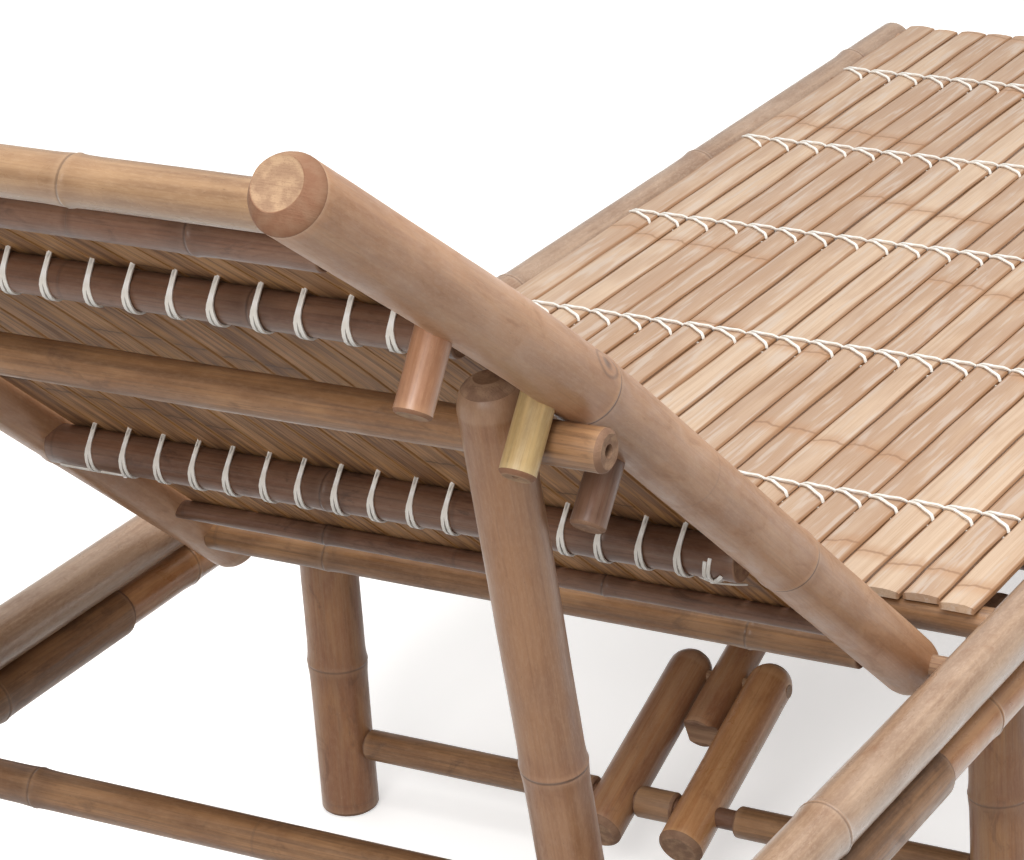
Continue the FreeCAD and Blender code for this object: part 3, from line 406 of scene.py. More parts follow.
def endProfile(kind, radius, bevel):
    # inset from the end and radius, from the cut face outwards, and whether the band shows cut fibre
    if kind == "dome":
        turns = [math.radians(angle) for angle in (24, 34, 44, 54, 65, 77, 90)]
        drop = radius * (1 - math.cos(turns[0]))
        return [(radius * (1 - math.cos(turn)) - drop, radius * math.sin(turn), index < 3)
                for index, turn in enumerate(turns)]
    if kind == "rasped":
        return [(0.0, radius - bevel, True), (bevel * 0.28, radius - bevel * 0.62, True),
                (bevel * 0.62, radius - bevel * 0.24, True),
                (bevel, radius - bevel * 0.04, True), (bevel * 1.15, radius, False)]
    return [(0.0, radius - 0.9, True), (0.35, radius - 0.35, True), (0.95, radius, False)]


pithDepth = 13.0                # how deep an open pith is shown, in mm


def culm(name, path, length, radius, ends, rings=(), skin="tanCulmSkin", cut="paleCutBamboo", seed=0, sides=36,
         bevel=(5.0, 5.0), pith=(0.0, 0.0), swell=None, scar=None, tilt=None):
    # A bamboo pole along a path: rings of points at every station, closed by a cut face at each end.
    dice = random.Random(seed * 7919 + 11)
    offset = Vector((dice.uniform(-400, 400), dice.uniform(-400, 400), dice.uniform(0, 3000)))
    swell = nodeShape["swell"] if swell is None else swell
    stations = {}
    spacing = 16.0
    for index in range(1, int(length / spacing)):
        stations[round(index * length / int(length / spacing), 3)] = None
    for ring in rings:
        stations = {at: None for at in stations if abs(at - ring) > nodeShape["span"]}
        stations.update({round(ring + step, 3): None for step in nodeShape["stations"]})
    if scar:
        stations = {at: None for at in stations if abs(at - scar[0]) > scarShape["span"]
                    or min([abs(at - ring) for ring in rings] or [farOff]) < nodeShape["span"]}
        stations.update({round(scar[0] + step * 1.5, 3): None for step in range(-7, 8)})
    first = endProfile(ends[0], radius, bevel[0])
    last = endProfile(ends[1], radius, bevel[1])
    low, high = first[-1][0] + 1.5, length - last[-1][0] - 1.5
    middle = sorted(at for at in stations if low < at < high)
    bands = [(inset, edge, isCut, 0) for inset, edge, isCut in first]
    bands += [(at, radius, False, 1) for at in middle]
    bands += [(length - inset, edge, isCut, 2) for inset, edge, isCut in reversed(last)]
    points, grain, marks, faces, slots = [], [], [], [], []
    wave = dice.uniform(0, 6.28)

    def addRing(station, edge, kind, depth=0.0, inner=False, lean=0.0):
        for step in range(sides):
            turn = 2 * math.pi * step / sides
            centre, side, other = path(station)
            bulge = edge
            gap = min([station - ring for ring in rings], key=abs) if rings else farOff
            scarGap = farOff
            if kind == 1:
                spot = Vector((math.cos(turn) * 1.3, math.sin(turn) * 1.3, station * 0.02)) + offset * 0.01
                height = nodeHeight(gap + 1.1 * math.sin(turn + wave), swell) if rings else 0.0
                bulge += radius * 0.012 * noise.noise(spot) + height
                if scar:
                    arc = radius * ((turn - scar[1] + math.pi) % (2 * math.pi) - math.pi)
                    scarGap = math.hypot(arc, (station - scar[0]) * scarShape["squash"])
                    rim = scarShape["rim"] * math.exp(-(scarGap / scarShape["rimWidth"]) ** 2)
                    bulge += rim - scarShape["pit"] * math.exp(-(scarGap / scarShape["pitWidth"]) ** 2)
            elif not inner:
                spot = Vector((math.cos(turn) * 2.1, math.sin(turn) * 2.1, 4.0 * kind)) + offset
                bulge += 0.35 * noise.noise(spot) * (1 if edge < radius - 0.2 else 0.3)
            if tilt and lean:
                bulge += tilt[0] * lean * math.cos(turn - tilt[1])
            way = side.cross(other)
            spread = side * math.cos(turn) + other * math.sin(turn)
            points.append(centre + spread * bulge + way * depth)
            grain.append(Vector((math.cos(turn) * bulge, math.sin(turn) * bulge, station)) + offset)
            rimShare = bulge / radius if inner or not tilt else 0.87 - 0.09 * math.cos(turn - tilt[1])
            away = min(station, length - station)
            marks.append((gap + 0.9 * math.sin(turn + wave) if kind == 1 else farOff, scarGap,
                          rimShare if (inner or kind != 1) else away))

    def bridge(firstRing, secondRing, slot):
        for step in range(sides):
            nextStep = (step + 1) % sides
            faces.append((firstRing + step, firstRing + nextStep, secondRing + nextStep, secondRing + step))
            slots.append(slot)

    starts = []
    for station, edge, isCut, kind in bands:
        starts.append(len(points))
        addRing(station, edge, kind, lean=(radius - edge) / bevel[1] if kind == 2 else 0.0)
    for index, (this, after) in enumerate(zip(bands, bands[1:])):
        isCut = (this[2] and (after[2] or this[3] == 0)) or (after[2] and after[3] == 2)
        bridge(starts[index], starts[index + 1], 1 if isCut else 0)
    # each end is closed by rings of sawn face, or by a short hollow where the pith is open
    for atEnd in (0, 1):
        outer = starts[-1] if atEnd else starts[0]
        station = length if atEnd else 0.0
        outerRadius = bands[-1][1] if atEnd else bands[0][1]
        sign = -1 if atEnd else 1
        hollow = pith[atEnd]
        previous = outer
        shares = (0.82, 0.6, 0.36) if not hollow else (0.7,)
        for share in shares:
            here = len(points)
            addRing(station, max(outerRadius * share, hollow + 1.0), 3, sign * (0.35 + 0.5 * (1 - share)), True,
                    share * atEnd)
            bridge(here, previous, 1) if not atEnd else bridge(previous, here, 1)
            previous = here
        if hollow:
            for edge, depth in ((hollow, 0.5), (hollow - 0.3, 3.0), (hollow - 0.4, pithDepth)):
                here = len(points)
                addRing(station, edge, 3, sign * depth, True)
                bridge(here, previous, 1) if not atEnd else bridge(previous, here, 1)
                previous = here
        centre, side, other = path(station)
        middlePoint = len(points)
        depth = sign * (pithDepth if hollow else 0.9)
        points.append(centre + side.cross(other) * depth)
        grain.append(Vector((0, 0, station)) + offset)
        marks.append((farOff, farOff, 0.0))
        for step in range(sides):
            nextStep = (step + 1) % sides
            if atEnd:
                faces.append((previous + step, previous + nextStep, middlePoint))
            else:
                faces.append((previous + nextStep, previous + step, middlePoint))
            slots.append(1)
    return finishedObject(name, points, faces, slots, [skins[skin], cuts[cut]], grain, marks)


def boringTool(centre, direction, radius, length, sides=32):
    # a closed cylinder whose faces take the cut end's slot
    path, _ = straight(Vector(centre) - Vector(direction) * length / 2, Vector(centre) + Vector(direction) * length / 2)
    points, grain, faces = [], [], []
    for station in (0.0, length):
        middle, side, other = path(station)
        for step in range(sides):
            turn = 2 * math.pi * (step + 0.5) / sides
            points.append(middle + (side * math.cos(turn) + other * math.sin(turn)) * radius)
            grain.append((math.cos(turn) * radius, math.sin(turn) * radius, station))
    for step in range(sides):
        nextStep = (step + 1) % sides
        faces.append((step, nextStep, sides + nextStep, sides + step))
    faces.append(tuple(reversed(range(sides))))
    faces.append(tuple(range(sides, 2 * sides)))
    return finishedObject("boringTool", points, faces, [1] * len(faces), [cuts["brownCutBamboo"]] * 2, grain,
                          [(farOff, farOff, 0.5)] * len(points))


def plainMesh(piece):
    # the evaluated result as the piece's own mesh, with every modifier gone
    graph = bpy.context.evaluated_depsgraph_get()
    graph.update()
    mesh = bpy.data.meshes.new_from_object(piece.evaluated_get(graph), preserve_all_data_layers=True, depsgraph=graph)
    piece.modifiers.clear()
    piece.data = mesh
    return piece


def bored(piece, tools):
    for tool in tools:
        cutter = piece.modifiers.new("bore", "BOOLEAN")
        cutter.operation = "DIFFERENCE"
        cutter.solver = "EXACT"
        cutter.object = tool
    plainMesh(piece)
    for tool in tools:
        bpy.data.objects.remove(tool)
    piece.data.set_sharp_from_angle(angle=math.radians(sharpEdge))
    return piece


def pieceName(node):
    words = node.split("_")
    return words[0] + "".join([word.title() for word in words[1:]])


def placed(piece, body, slotName, *replaced):
    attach(piece, body)
    if replaced:
        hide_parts(*replaced)
    return piece


# The backrest is laid out by station, along the stile from its hinge pin, and by level, over the stile's axis.

backShape = {"slope": 41.2, "bend": 4.8, "bendStart": 427.0, "bendLength": 200.0}


def backFrame(station):
    slope, bend = math.radians(backShape["slope"]), math.radians(backShape["bend"])
    start, run = backShape["bendStart"], backShape["bendLength"]
    radius = run / bend
    lowWay = Vector((0, -math.cos(slope), math.sin(slope)))
    if station <= start:
        point, angle = lowWay * station, slope
    else:
        turned = min(station - start, run) / radius
        chord = 2 * radius * math.sin(turned / 2)
        middle = slope - turned / 2
        point = lowWay * start + Vector((0, -math.cos(middle), math.sin(middle))) * chord
        angle = slope - turned
        if station > start + run:
            point = point + Vector((0, -math.cos(angle), math.sin(angle))) * (station - start - run)
    way = Vector((0, -math.cos(angle), math.sin(angle)))
    up = Vector((0, math.sin(angle), math.cos(angle)))
    return point + Vector((0, 0, frameSizes["railZ"])), way, up


def backPoint(station, level, x=0.0):
    point, _, up = backFrame(station)
    return point + up * level + Vector((x, 0, 0))


def stilePath(x, tail):
    def path(station):
        point, way, up = backFrame(station - tail)
        return point + Vector((x, 0, 0)), across, way.cross(across)
    return path


hands = (("left", -1), ("right", 1))
railX, railZ, lowerRailZ = frameSizes["railX"], frameSizes["railZ"], frameSizes["lowerRailZ"]
seatRows = frameSizes["seatRows"]

# Poles of the seat frame

seatPoles = {
    "sideRail": {"radius": 18.0, "start": -424.0, "end": 1240.0, "rings": (204.0, 560.0, 905.0, 1240.0, 1560.0),
                 "swell": 0.8},
    "lowerRail": {"radius": 15.0, "start": -104.0, "end": 1215.0, "rings": (115.0, 445.0, 775.0, 1105.0), "swell": 0.6},
    "railSocket": {"radius": 18.0, "start": -424.0, "end": -64.0, "rings": (210.0,), "swell": 0.6, "bevel": (5.0, 6.5)},
    "crossPole": {"radius": 12.0, "z": 283.0, "sink": 6.0},
    "legAxle": {"radius": 10.0, "sink": 5.0, "rings": (180.0, 430.0),
                "places": (("rear_leg_axle", 134.0), ("foot_leg_axle", 1188.0))},
}

for hand, side in hands:
    look = seatPoles["sideRail"]
    path, length = straight((side * railX, look["start"], railZ), (side * railX, look["end"], railZ))
    placed(culm("sideRail" + hand.title(), path, length, look["radius"], ("rasped", "rasped"), look["rings"],
                "railCulmSkin", "paleCutBamboo", seed=3 + side, swell=look["swell"]),
           "seat_frame", "pale_bamboo", "side_rail_" + hand)
    look = seatPoles["lowerRail"]
    path, length = straight((side * railX, look["start"], lowerRailZ), (side * railX, look["end"], lowerRailZ))
    placed(culm("lowerRail" + hand.title(), path, length, look["radius"], ("square", "rasped"), look["rings"],
                "goldenCulmSkin", "paleCutBamboo", seed=8 + side, swell=look["swell"]),
           "seat_frame", "golden_bamboo", "lower_rail_" + hand)
    look = seatPoles["railSocket"]
    path, length = straight((side * railX, look["start"], lowerRailZ), (side * railX, look["end"], lowerRailZ))
    placed(culm("railSocket" + hand.title(), path, length, look["radius"], ("rasped", "rasped"), look["rings"],
                "barkCulmSkin", "brownCutBamboo", seed=12 + side, swell=look["swell"], bevel=look["bevel"]),
           "seat_frame", "brown_bamboo", "rail_socket_" + hand)

crossPoles = {
    "seat_rear_rail": {"y": 64.0, "z": 284.0, "radius": 11.0, "rings": (150.0, 452.0), "skin": "barkCulmSkin",
                       "slot": "brown_bamboo"},
    "foot_rail": {"y": 1216.0, "z": 280.0, "radius": 15.0, "rings": (210.0, 500.0), "skin": "tanCulmSkin",
                  "slot": "tan_bamboo"},
    "prop_axle": {"y": -354.0, "z": 282.0, "radius": 12.0, "rings": (140.0, 460.0), "skin": "barkCulmSkin",
                  "slot": "brown_bamboo"},
}
seatCross = seatPoles["crossPole"]
for number, y in enumerate(seatRows, start=1):
    rings = (90.0 + 37.0 * number, 400.0 + 23.0 * number)     # the nodes step from pole to pole
    crossPoles["seat_cross_pole_%d" % number] = {"y": y, "z": seatCross["z"], "radius": seatCross["radius"],
                                                 "rings": rings, "skin": "barkCulmSkin", "slot": "brown_bamboo"}
for number, (node, look) in enumerate(crossPoles.items()):
    reach = frameSizes["railInnerX"] + seatCross["sink"]
    path, length = straight((-reach, look["y"], look["z"]), (reach, look["y"], look["z"]))
    placed(culm(pieceName(node), path, length, look["radius"], ("square", "square"), look["rings"], look["skin"],
                "brownCutBamboo", seed=20 + number, sides=28), "seat_frame", look["slot"], node)
look = seatPoles["legAxle"]
for number, (node, y) in enumerate(look["places"]):
    reach = frameSizes["lowerInnerX"] + look["sink"]
    path, length = straight((-reach, y, lowerRailZ), (reach, y, lowerRailZ))
    placed(culm(pieceName(node), path, length, look["radius"], ("square", "square"), look["rings"], "barkCulmSkin",
                "brownCutBamboo", seed=33 + number, sides=28), "seat_frame", "brown_bamboo", node)
print("seat frame poles done")

# Poles, stiles and notch pegs of the backrest

backPoles = {
    "back_top_rail": {"station": 789.0, "level": 0.0, "radius": 12.5, "rings": (95.0, 372.0), "skin": "honeyCulmSkin",
                      "slot": "golden_bamboo"},
    "back_second_rail": {"station": 751.0, "level": -8.8, "radius": 9.5, "rings": (60.0, 170.0, 298.0, 420.0),
                         "skin": "darkCulmSkin", "slot": "dark_bamboo"},
    "back_cross_pole_a": {"station": 613.0, "level": -9.8, "radius": 10.5, "rings": (130.0, 372.0),
                          "skin": "darkCulmSkin", "slot": "dark_bamboo"},
    "back_cross_pole_b": {"station": 237.0, "level": -12.3, "radius": 13.0, "rings": (210.0, 404.0),
                          "skin": "darkCulmSkin", "slot": "brown_bamboo"},
    "back_bottom_rail": {"station": 84.0, "level": -5.8, "radius": 6.5, "rings": (120.0, 330.0), "skin": "darkCulmSkin",
                         "slot": "dark_bamboo"},
    "back_spreader": {"station": 35.0, "level": -8.0, "radius": 10.5, "rings": (96.0, 414.0), "skin": "barkCulmSkin",
                      "slot": "brown_bamboo"},
}
for number, (node, look) in enumerate(backPoles.items()):
    centre = backPoint(look["station"], look["level"])
    reach = frameSizes["stileInnerX"] + 6.0
    path, length = straight((-reach, centre.y, centre.z), (reach, centre.y, centre.z))
    placed(culm(pieceName(node), path, length, look["radius"], ("square", "square"), look["rings"], look["skin"],
                "brownCutBamboo", seed=40 + number, sides=28), "backrest", look["slot"], node)

stileLook = {"radius": 20.0, "tail": 26.0, "length": 822.0, "rings": (238.0, 530.0), "bevel": (5.0, 6.4),
             "tilt": (3.6, 2.3), "scars": {"left": (546.0, 2.2), "right": (545.0, 0.58)}, "hingeBore": 7.06}
for hand, side in hands:
    stile = culm("stile" + hand.title(), stilePath(side * frameSizes["stileX"], stileLook["tail"]),
                 stileLook["length"] + stileLook["tail"], stileLook["radius"], ("dome", "rasped"), stileLook["rings"],
                 "tanCulmSkin", "paleCutBamboo", seed=50 + side, bevel=stileLook["bevel"], tilt=stileLook["tilt"],
                 scar=stileLook["scars"][hand], sides=40)
    bored(stile, [boringTool((side * frameSizes["stileX"], 0, railZ), (side, 0, 0), stileLook["hingeBore"], 44.0)])
    placed(stile, "backrest", "tan_bamboo", "stile_" + hand)

pegSizes = {"radius": 10.0, "low": -59.0, "high": 2.0}        # levels of the two ends
pegLooks = {
    1: {"station": 649.3, "skin": "rosyCulmSkin", "cut": "paleCutBamboo", "slot": "brown_bamboo", "pith": 0.0,
        "bevel": 1.6},
    2: {"station": 532.3, "skin": "paleCulmSkin", "cut": "paleCutBamboo", "slot": "pale_bamboo", "pith": 2.6,
        "bevel": 2.4},
    3: {"station": 442.3, "skin": "darkCulmSkin", "cut": "brownCutBamboo", "slot": "dark_bamboo", "pith": 0.0,
        "bevel": 1.6},
}
for hand, side in hands:
    for number, look in pegLooks.items():
        low, high = [backPoint(look["station"], pegSizes[end], side * frameSizes["pegX"]) for end in ("low", "high")]
        path, length = straight(low, high)
        peg = culm("notchPeg%s%d" % (hand.title(), number), path, length, pegSizes["radius"], ("rasped", "square"), (),
                   look["skin"], look["cut"], seed=60 + number + 5 * side, bevel=(look["bevel"], 2.0),
                   pith=(look["pith"], 0.0), sides=32)
        placed(peg, "backrest", look["slot"], "notch_peg_%s_%d" % (hand, number))
print("backrest poles done")

# The prop: two legs on the axle, and the bar that lies between the pegs

barPoint = backPoint(510.0, -32.3)
propFoot = Vector((0, -354.0, railZ))
propWay = (barPoint - propFoot).normalized()
propLook = {"radius": 18.5, "beyond": 34.0, "rings": (121.0,), "barRadius": 12.0, "barHalf": 287.0, "axleBore": 12.06}

path, length = straight((-propLook["barHalf"], barPoint.y, barPoint.z), (propLook["barHalf"], barPoint.y, barPoint.z))
placed(culm("propBar", path, length, propLook["barRadius"], ("rasped", "rasped"), (), "barkCulmSkin", "brownCutBamboo",
            seed=70, bevel=(2.6, 2.6), pith=(3.9, 3.9), sides=32),
       "prop", "brown_bamboo", "prop_bar")
for hand, side in hands:
    shiftX = Vector((side * frameSizes["propX"], 0, 0))
    start = propFoot - propWay * propLook["radius"] + shiftX
    end = propFoot + propWay * ((barPoint - propFoot).length + propLook["beyond"]) + shiftX
    path, length = straight(start, end)
    leg = culm("propLeg" + hand.title(), path, length, propLook["radius"], ("dome", "dome"), propLook["rings"],
               "propCulmSkin", "brownCutBamboo", seed=75 + side, swell=0.7)
    bored(leg, [boringTool(propFoot + shiftX, (side, 0, 0), propLook["axleBore"], 42.0)])
    placed(leg, "prop", "brown_bamboo", "prop_leg_" + hand)
print("prop done")

# Leg frames and their folding stays, the same at both ends apart from the stay's slope and length

legLook = {"radius": 21.5, "rings": (122.0,), "swell": 0.9, "bevel": (3.0, 5.0), "axleBore": 10.06,
           "stretcherZ": 56.0, "stretcherRadius": 7.5, "stretcherSink": 24.0}
stayLook = {"armRadius": 17.0, "armTail": 36.0, "armReach": 125.0, "tongueRadius": 14.0, "tongueTail": 55.0,
            "sleeveRadius": 11.5, "sleeveBore": 7.53, "sleeveEnds": (-50.3, -15.7, 15.7, 64.3), "mouthRadius": 12.0,
            "armBore": 7.56, "armKneeBore": 5.03, "tongueKneeBore": 5.06}
stays = {
    "rear": {"y": 134.0, "way": Vector((0, 0.93149, 0.36375)).normalized(), "tongueEnd": 455.70, "rings": (300.0,),
             "seedBase": 80},
    "foot": {"y": 1188.0, "way": Vector((0, -0.86192, 0.50705)).normalized(), "tongueEnd": 301.98, "rings": (190.0,),
             "seedBase": 120},
}


def tube(name, startX, endX, y, z, seed):
    # a sleeve: a short bamboo length with a bore right through it
    path, length = straight((startX, y, z), (endX, y, z))
    sleeve = culm(name, path, length, stayLook["sleeveRadius"], ("rasped", "rasped"), (), "barkCulmSkin",
                  "brownCutBamboo", seed=seed, bevel=(1.8, 1.8), sides=32)
    return bored(sleeve, [boringTool(((startX + endX) / 2, y, z), (1, 0, 0), stayLook["sleeveBore"], length + 4)])


def joined(name, parts):
    if len(parts) > 1:
        with bpy.context.temp_override(active_object=parts[0], selected_editable_objects=parts, selected_objects=parts):
            bpy.ops.object.join()
    parts[0].name = name
    return parts[0]


for end, look in stays.items():
    y, seedBase = look["y"], look["seedBase"]
    for hand, side in hands:
        x = side * frameSizes["legX"]
        path, length = straight((x, y, 0.0), (x, y, lowerRailZ + legLook["radius"]))
        leg = culm("%sLeg%s" % (end, hand.title()), path, length, legLook["radius"], ("rasped", "dome"),
                   legLook["rings"], "legCulmSkin", "brownCutBamboo", seed=seedBase + side, swell=legLook["swell"],
                   bevel=legLook["bevel"])
        bored(leg, [boringTool((x, y, lowerRailZ), (side, 0, 0), legLook["axleBore"], 48.0)])
        placed(leg, end + "_legs", "tan_bamboo", "%s_leg_%s" % (end, hand))
    reach = frameSizes["legX"] - legLook["radius"] + legLook["stretcherSink"]
    path, length = straight((-reach, y, legLook["stretcherZ"]), (reach, y, legLook["stretcherZ"]))
    placed(culm(end + "Stretcher", path, length, legLook["stretcherRadius"], ("square", "square"), (), "darkCulmSkin",
                "brownCutBamboo", seed=seedBase + 3, sides=28),
           end + "_legs", "dark_bamboo", end + "_stretcher")
    legFace = frameSizes["legX"] - legLook["radius"] - 0.3
    turns = (-legFace, *stayLook["sleeveEnds"], legFace)      # each sleeve runs from an even one to the next
    sleeves = [tube("%sSleeve%d" % (end, number), low, high, y, legLook["stretcherZ"], seedBase + 5 + number)
               for number, (low, high) in enumerate(zip(turns[::2], turns[1::2]))]
    placed(joined(end + "Sleeves", sleeves), end + "_legs", "brown_bamboo", end + "_sleeves")
    foot = Vector((0, y, legLook["stretcherZ"]))
    way = look["way"]
    knee = foot + way * stayLook["armReach"]
    for hand, side in hands:
        shiftX = Vector((side * frameSizes["forkX"], 0, 0))
        path, length = straight(foot + shiftX - way * stayLook["armTail"],
                                foot + shiftX + way * (stayLook["armReach"] + stayLook["armRadius"]))
        arm = culm("%sForkArm%s" % (end, hand.title()), path, length, stayLook["armRadius"], ("rasped", "dome"), (),
                   "goldenCulmSkin" if side > 0 else "legCulmSkin", "brownCutBamboo", seed=seedBase + 10 + side,
                   bevel=(4.0, 4.0))
        tools = [boringTool(foot + shiftX, (side, 0, 0), stayLook["armBore"], 40.0),
                 boringTool(knee + shiftX, (side, 0, 0), stayLook["armKneeBore"], 40.0)]
        placed(bored(arm, tools), end + "_fork", "brown_bamboo", "%s_fork_arm_%s" % (end, hand))
    tail = knee - way * stayLook["tongueTail"]
    path, length = straight(tail, foot + way * (stayLook["armReach"] + look["tongueEnd"]))
    tongue = culm(end + "Tongue", path, length, stayLook["tongueRadius"], ("square", "rasped"), look["rings"],
                  "legCulmSkin", "brownCutBamboo", seed=seedBase + 14, bevel=(4.0, 4.0))
    mouth = tail - way * stayLook["mouthRadius"] / 2
    tools = [boringTool(knee, (1, 0, 0), stayLook["tongueKneeBore"], 34.0),
             boringTool(mouth, (1, 0, 0), stayLook["mouthRadius"], 34.0)]
    placed(bored(tongue, tools), end + "_tongue", "tan_bamboo", end + "_tongue")
print("leg frames and stays done")


# Slats and lashings, which are rows of copies

def rowTree():
    # One tree lays copies of its input in a line along X, shakes each a little, and numbers them for the material.
    tree = bpy.data.node_groups.new("rowOfCopies", "GeometryNodeTree")
    face = tree.interface
    face.new_socket("Geometry", in_out="INPUT", socket_type="NodeSocketGeometry")
    face.new_socket("Geometry", in_out="OUTPUT", socket_type="NodeSocketGeometry")
    for label, kind in (("Count", "NodeSocketInt"), ("Pitch", "NodeSocketFloat"), ("First", "NodeSocketVector"),
                        ("Slide", "NodeSocketVector"), ("Turn", "NodeSocketVector"), ("Wander", "NodeSocketVector"),
                        ("Seed", "NodeSocketInt"), ("Finish", "NodeSocketMaterial")):
        face.new_socket(label, in_out="INPUT", socket_type=kind)
    given = addNode(tree, "NodeGroupInput").outputs
    step = addNode(tree, "ShaderNodeCombineXYZ", inputs={0: given["Pitch"]})
    line = addNode(tree, "GeometryNodeMeshLine", {"mode": "OFFSET"},
                   {"Count": given["Count"], "Start Location": given["First"], "Offset": step.outputs[0]})
    back = addNode(tree, "ShaderNodeVectorMath", {"operation": "SCALE"}, {0: given["Slide"], "Scale": -1.0}).outputs[0]
    turnBack = addNode(tree, "ShaderNodeVectorMath", {"operation": "SCALE"},
                       {0: given["Turn"], "Scale": -1.0}).outputs[0]
    slide = addNode(tree, "FunctionNodeRandomValue", {"data_type": "FLOAT_VECTOR"},
                    {0: back, 1: given["Slide"], "Seed": given["Seed"]})
    total = addNode(tree, "ShaderNodeMath", {"operation": "ADD"}, {0: given["Seed"], 1: 7.0}).outputs[0]
    turn = addNode(tree, "FunctionNodeRandomValue", {"data_type": "FLOAT_VECTOR"},
                   {0: turnBack, 1: given["Turn"], "Seed": total})
    copies = addNode(tree, "GeometryNodeInstanceOnPoints", inputs={"Points": line.outputs[0],
                                                                   "Instance": given["Geometry"]})
    turned = addNode(tree, "GeometryNodeRotateInstances", inputs={"Instances": copies.outputs[0],
                                                                  "Rotation": turn.outputs[0]})
    moved = addNode(tree, "GeometryNodeTranslateInstances", inputs={"Instances": turned.outputs[0],
                                                                    "Translation": slide.outputs[0]})
    total = addNode(tree, "ShaderNodeMath", {"operation": "ADD"}, {0: given["Seed"], 1: 13.0}).outputs[0]
    chance = addNode(tree, "FunctionNodeRandomValue", {"data_type": "FLOAT"}, {"Seed": total})
    seeded = addNode(tree, "GeometryNodeStoreNamedAttribute", {"data_type": "FLOAT", "domain": "INSTANCE"},
                     {"Geometry": moved.outputs[0], "Name": "copySeed", "Value": chance.outputs[1]})
    order = addNode(tree, "GeometryNodeInputIndex").outputs[0]
    named = addNode(tree, "GeometryNodeStoreNamedAttribute", {"data_type": "FLOAT", "domain": "INSTANCE"},
                    {"Geometry": seeded.outputs[0], "Name": "copyIndex", "Value": order})
    real = addNode(tree, "GeometryNodeRealizeInstances", inputs={0: named.outputs[0]})
    place = addNode(tree, "GeometryNodeInputPosition").outputs[0]
    spread = addNode(tree, "ShaderNodeVectorMath", {"operation": "MULTIPLY"},
                     {0: place, 1: (70.0, 11.0, 11.0)}).outputs[0]
    waves = addNode(tree, "ShaderNodeTexNoise", inputs={"Vector": spread, "Scale": 1.0, "Detail": 1.0}).outputs["Color"]
    centred = addNode(tree, "ShaderNodeVectorMath", {"operation": "SUBTRACT"},
                      {0: waves, 1: (0.5, 0.5, 0.5)}).outputs[0]
    wander = addNode(tree, "ShaderNodeVectorMath", {"operation": "MULTIPLY"},
                     {0: centred, 1: given["Wander"]}).outputs[0]
    uneven = addNode(tree, "GeometryNodeSetPosition", inputs={"Geometry": real.outputs[0], "Offset": wander})
    finish = addNode(tree, "GeometryNodeSetMaterial", inputs={0: uneven.outputs[0], "Material": given["Finish"]})
    addNode(tree, "NodeGroupOutput", inputs={0: finish.outputs[0]})
    return tree


rowOfCopies = rowTree()


def layRow(piece, values):
    layer = piece.modifiers.new("row", "NODES")
    layer.node_group = rowOfCopies
    for socket in rowOfCopies.interface.items_tree:
        if socket.in_out == "INPUT" and socket.name in values:
            layer[socket.identifier] = values[socket.name]
    return plainMesh(piece)


def stripMesh(name, section, path, stations, material, waist=0.0, seed=0):
    # a strip with the given section, drawn along a path of (origin, up) places, centred on X 0
    dice = random.Random(seed)
    phase = [dice.uniform(0, 6.28) for _ in range(2)]
    count = len(section)
    points, grain, faces = [], [], []
    for station in stations:
        origin, up = path(station)
        wide = 1.0 + waist * (math.sin(station * 0.019 + phase[0]) + 0.6 * math.sin(station * 0.047 + phase[1]))
        for x, level in section:
            points.append(origin + up * level + Vector((x * wide, 0, 0)))
            grain.append((x, level, station))
    for index in range(len(stations) - 1):
        for step in range(count):
            nextStep = (step + 1) % count
            faces.append((index * count + step, index * count + nextStep, (index + 1) * count + nextStep,
                          (index + 1) * count + step))
    faces.append(tuple(reversed(range(count))))
    faces.append(tuple(range((len(stations) - 1) * count, len(stations) * count)))
    return finishedObject(name, points, faces, [0] * len(faces), [material], grain,
                          [(farOff, farOff, farOff)] * len(points), 30.0)


def splitSection(half, thickness, crown):
    # flat planed underside, low crown on top, eased edges
    low = [(-half + 0.5, 0.0), (half - 0.5, 0.0), (half, 0.8)]
    top = [(half, thickness - crown - 0.9), (half - 0.9, thickness - crown - 0.1),
           (half * 0.5, thickness - crown * 0.25), (0.0, thickness),
           (-half * 0.5, thickness - crown * 0.25), (0.9 - half, thickness - crown - 0.1),
           (-half, thickness - crown - 0.9)]
    return low + top + [(-half, 0.8)]


seatSlatLook = {"half": 12.9, "thickness": 6.0, "crown": 1.3, "start": 54.0, "end": 1226.0, "count": 21, "pitch": 27.4,
                "floor": 295.3, "steps": 58}
look = seatSlatLook
stations = [look["start"] + (look["end"] - look["start"]) * index / look["steps"] for index in range(look["steps"] + 1)]
seatSlats = stripMesh("seatSlats", splitSection(look["half"], look["thickness"], look["crown"]),
                      lambda station: (Vector((0, station, look["floor"])), Vector((0, 0, 1))),
                      list(reversed(stations)), strawSlat, 0.012, 5)
layRow(seatSlats, {"Count": look["count"], "Pitch": look["pitch"] * 0.001,
                   "First": (-look["pitch"] * 0.001 * (look["count"] - 1) / 2, 0.0, 0.0),
                   "Slide": (0.0005, 0.003, 0.0), "Turn": (0.0, 0.0, 0.0006), "Wander": (0.0035, 0.0, 0.0012),
                   "Seed": 4, "Finish": strawSlat})
placed(seatSlats, "seat_frame", "straw_bamboo", "seat_slats")

backSlatLook = {"half": 12.5, "thickness": 6.0, "crown": 0.9, "start": 62.0, "end": 768.0, "count": 18, "pitch": 26.4,
                "level": 1.0, "steps": 44}
look = backSlatLook
stations = [look["start"] + (look["end"] - look["start"]) * index / look["steps"] for index in range(look["steps"] + 1)]


def backStrip(station):
    point, _, up = backFrame(station)
    return point + up * backSlatLook["level"], up


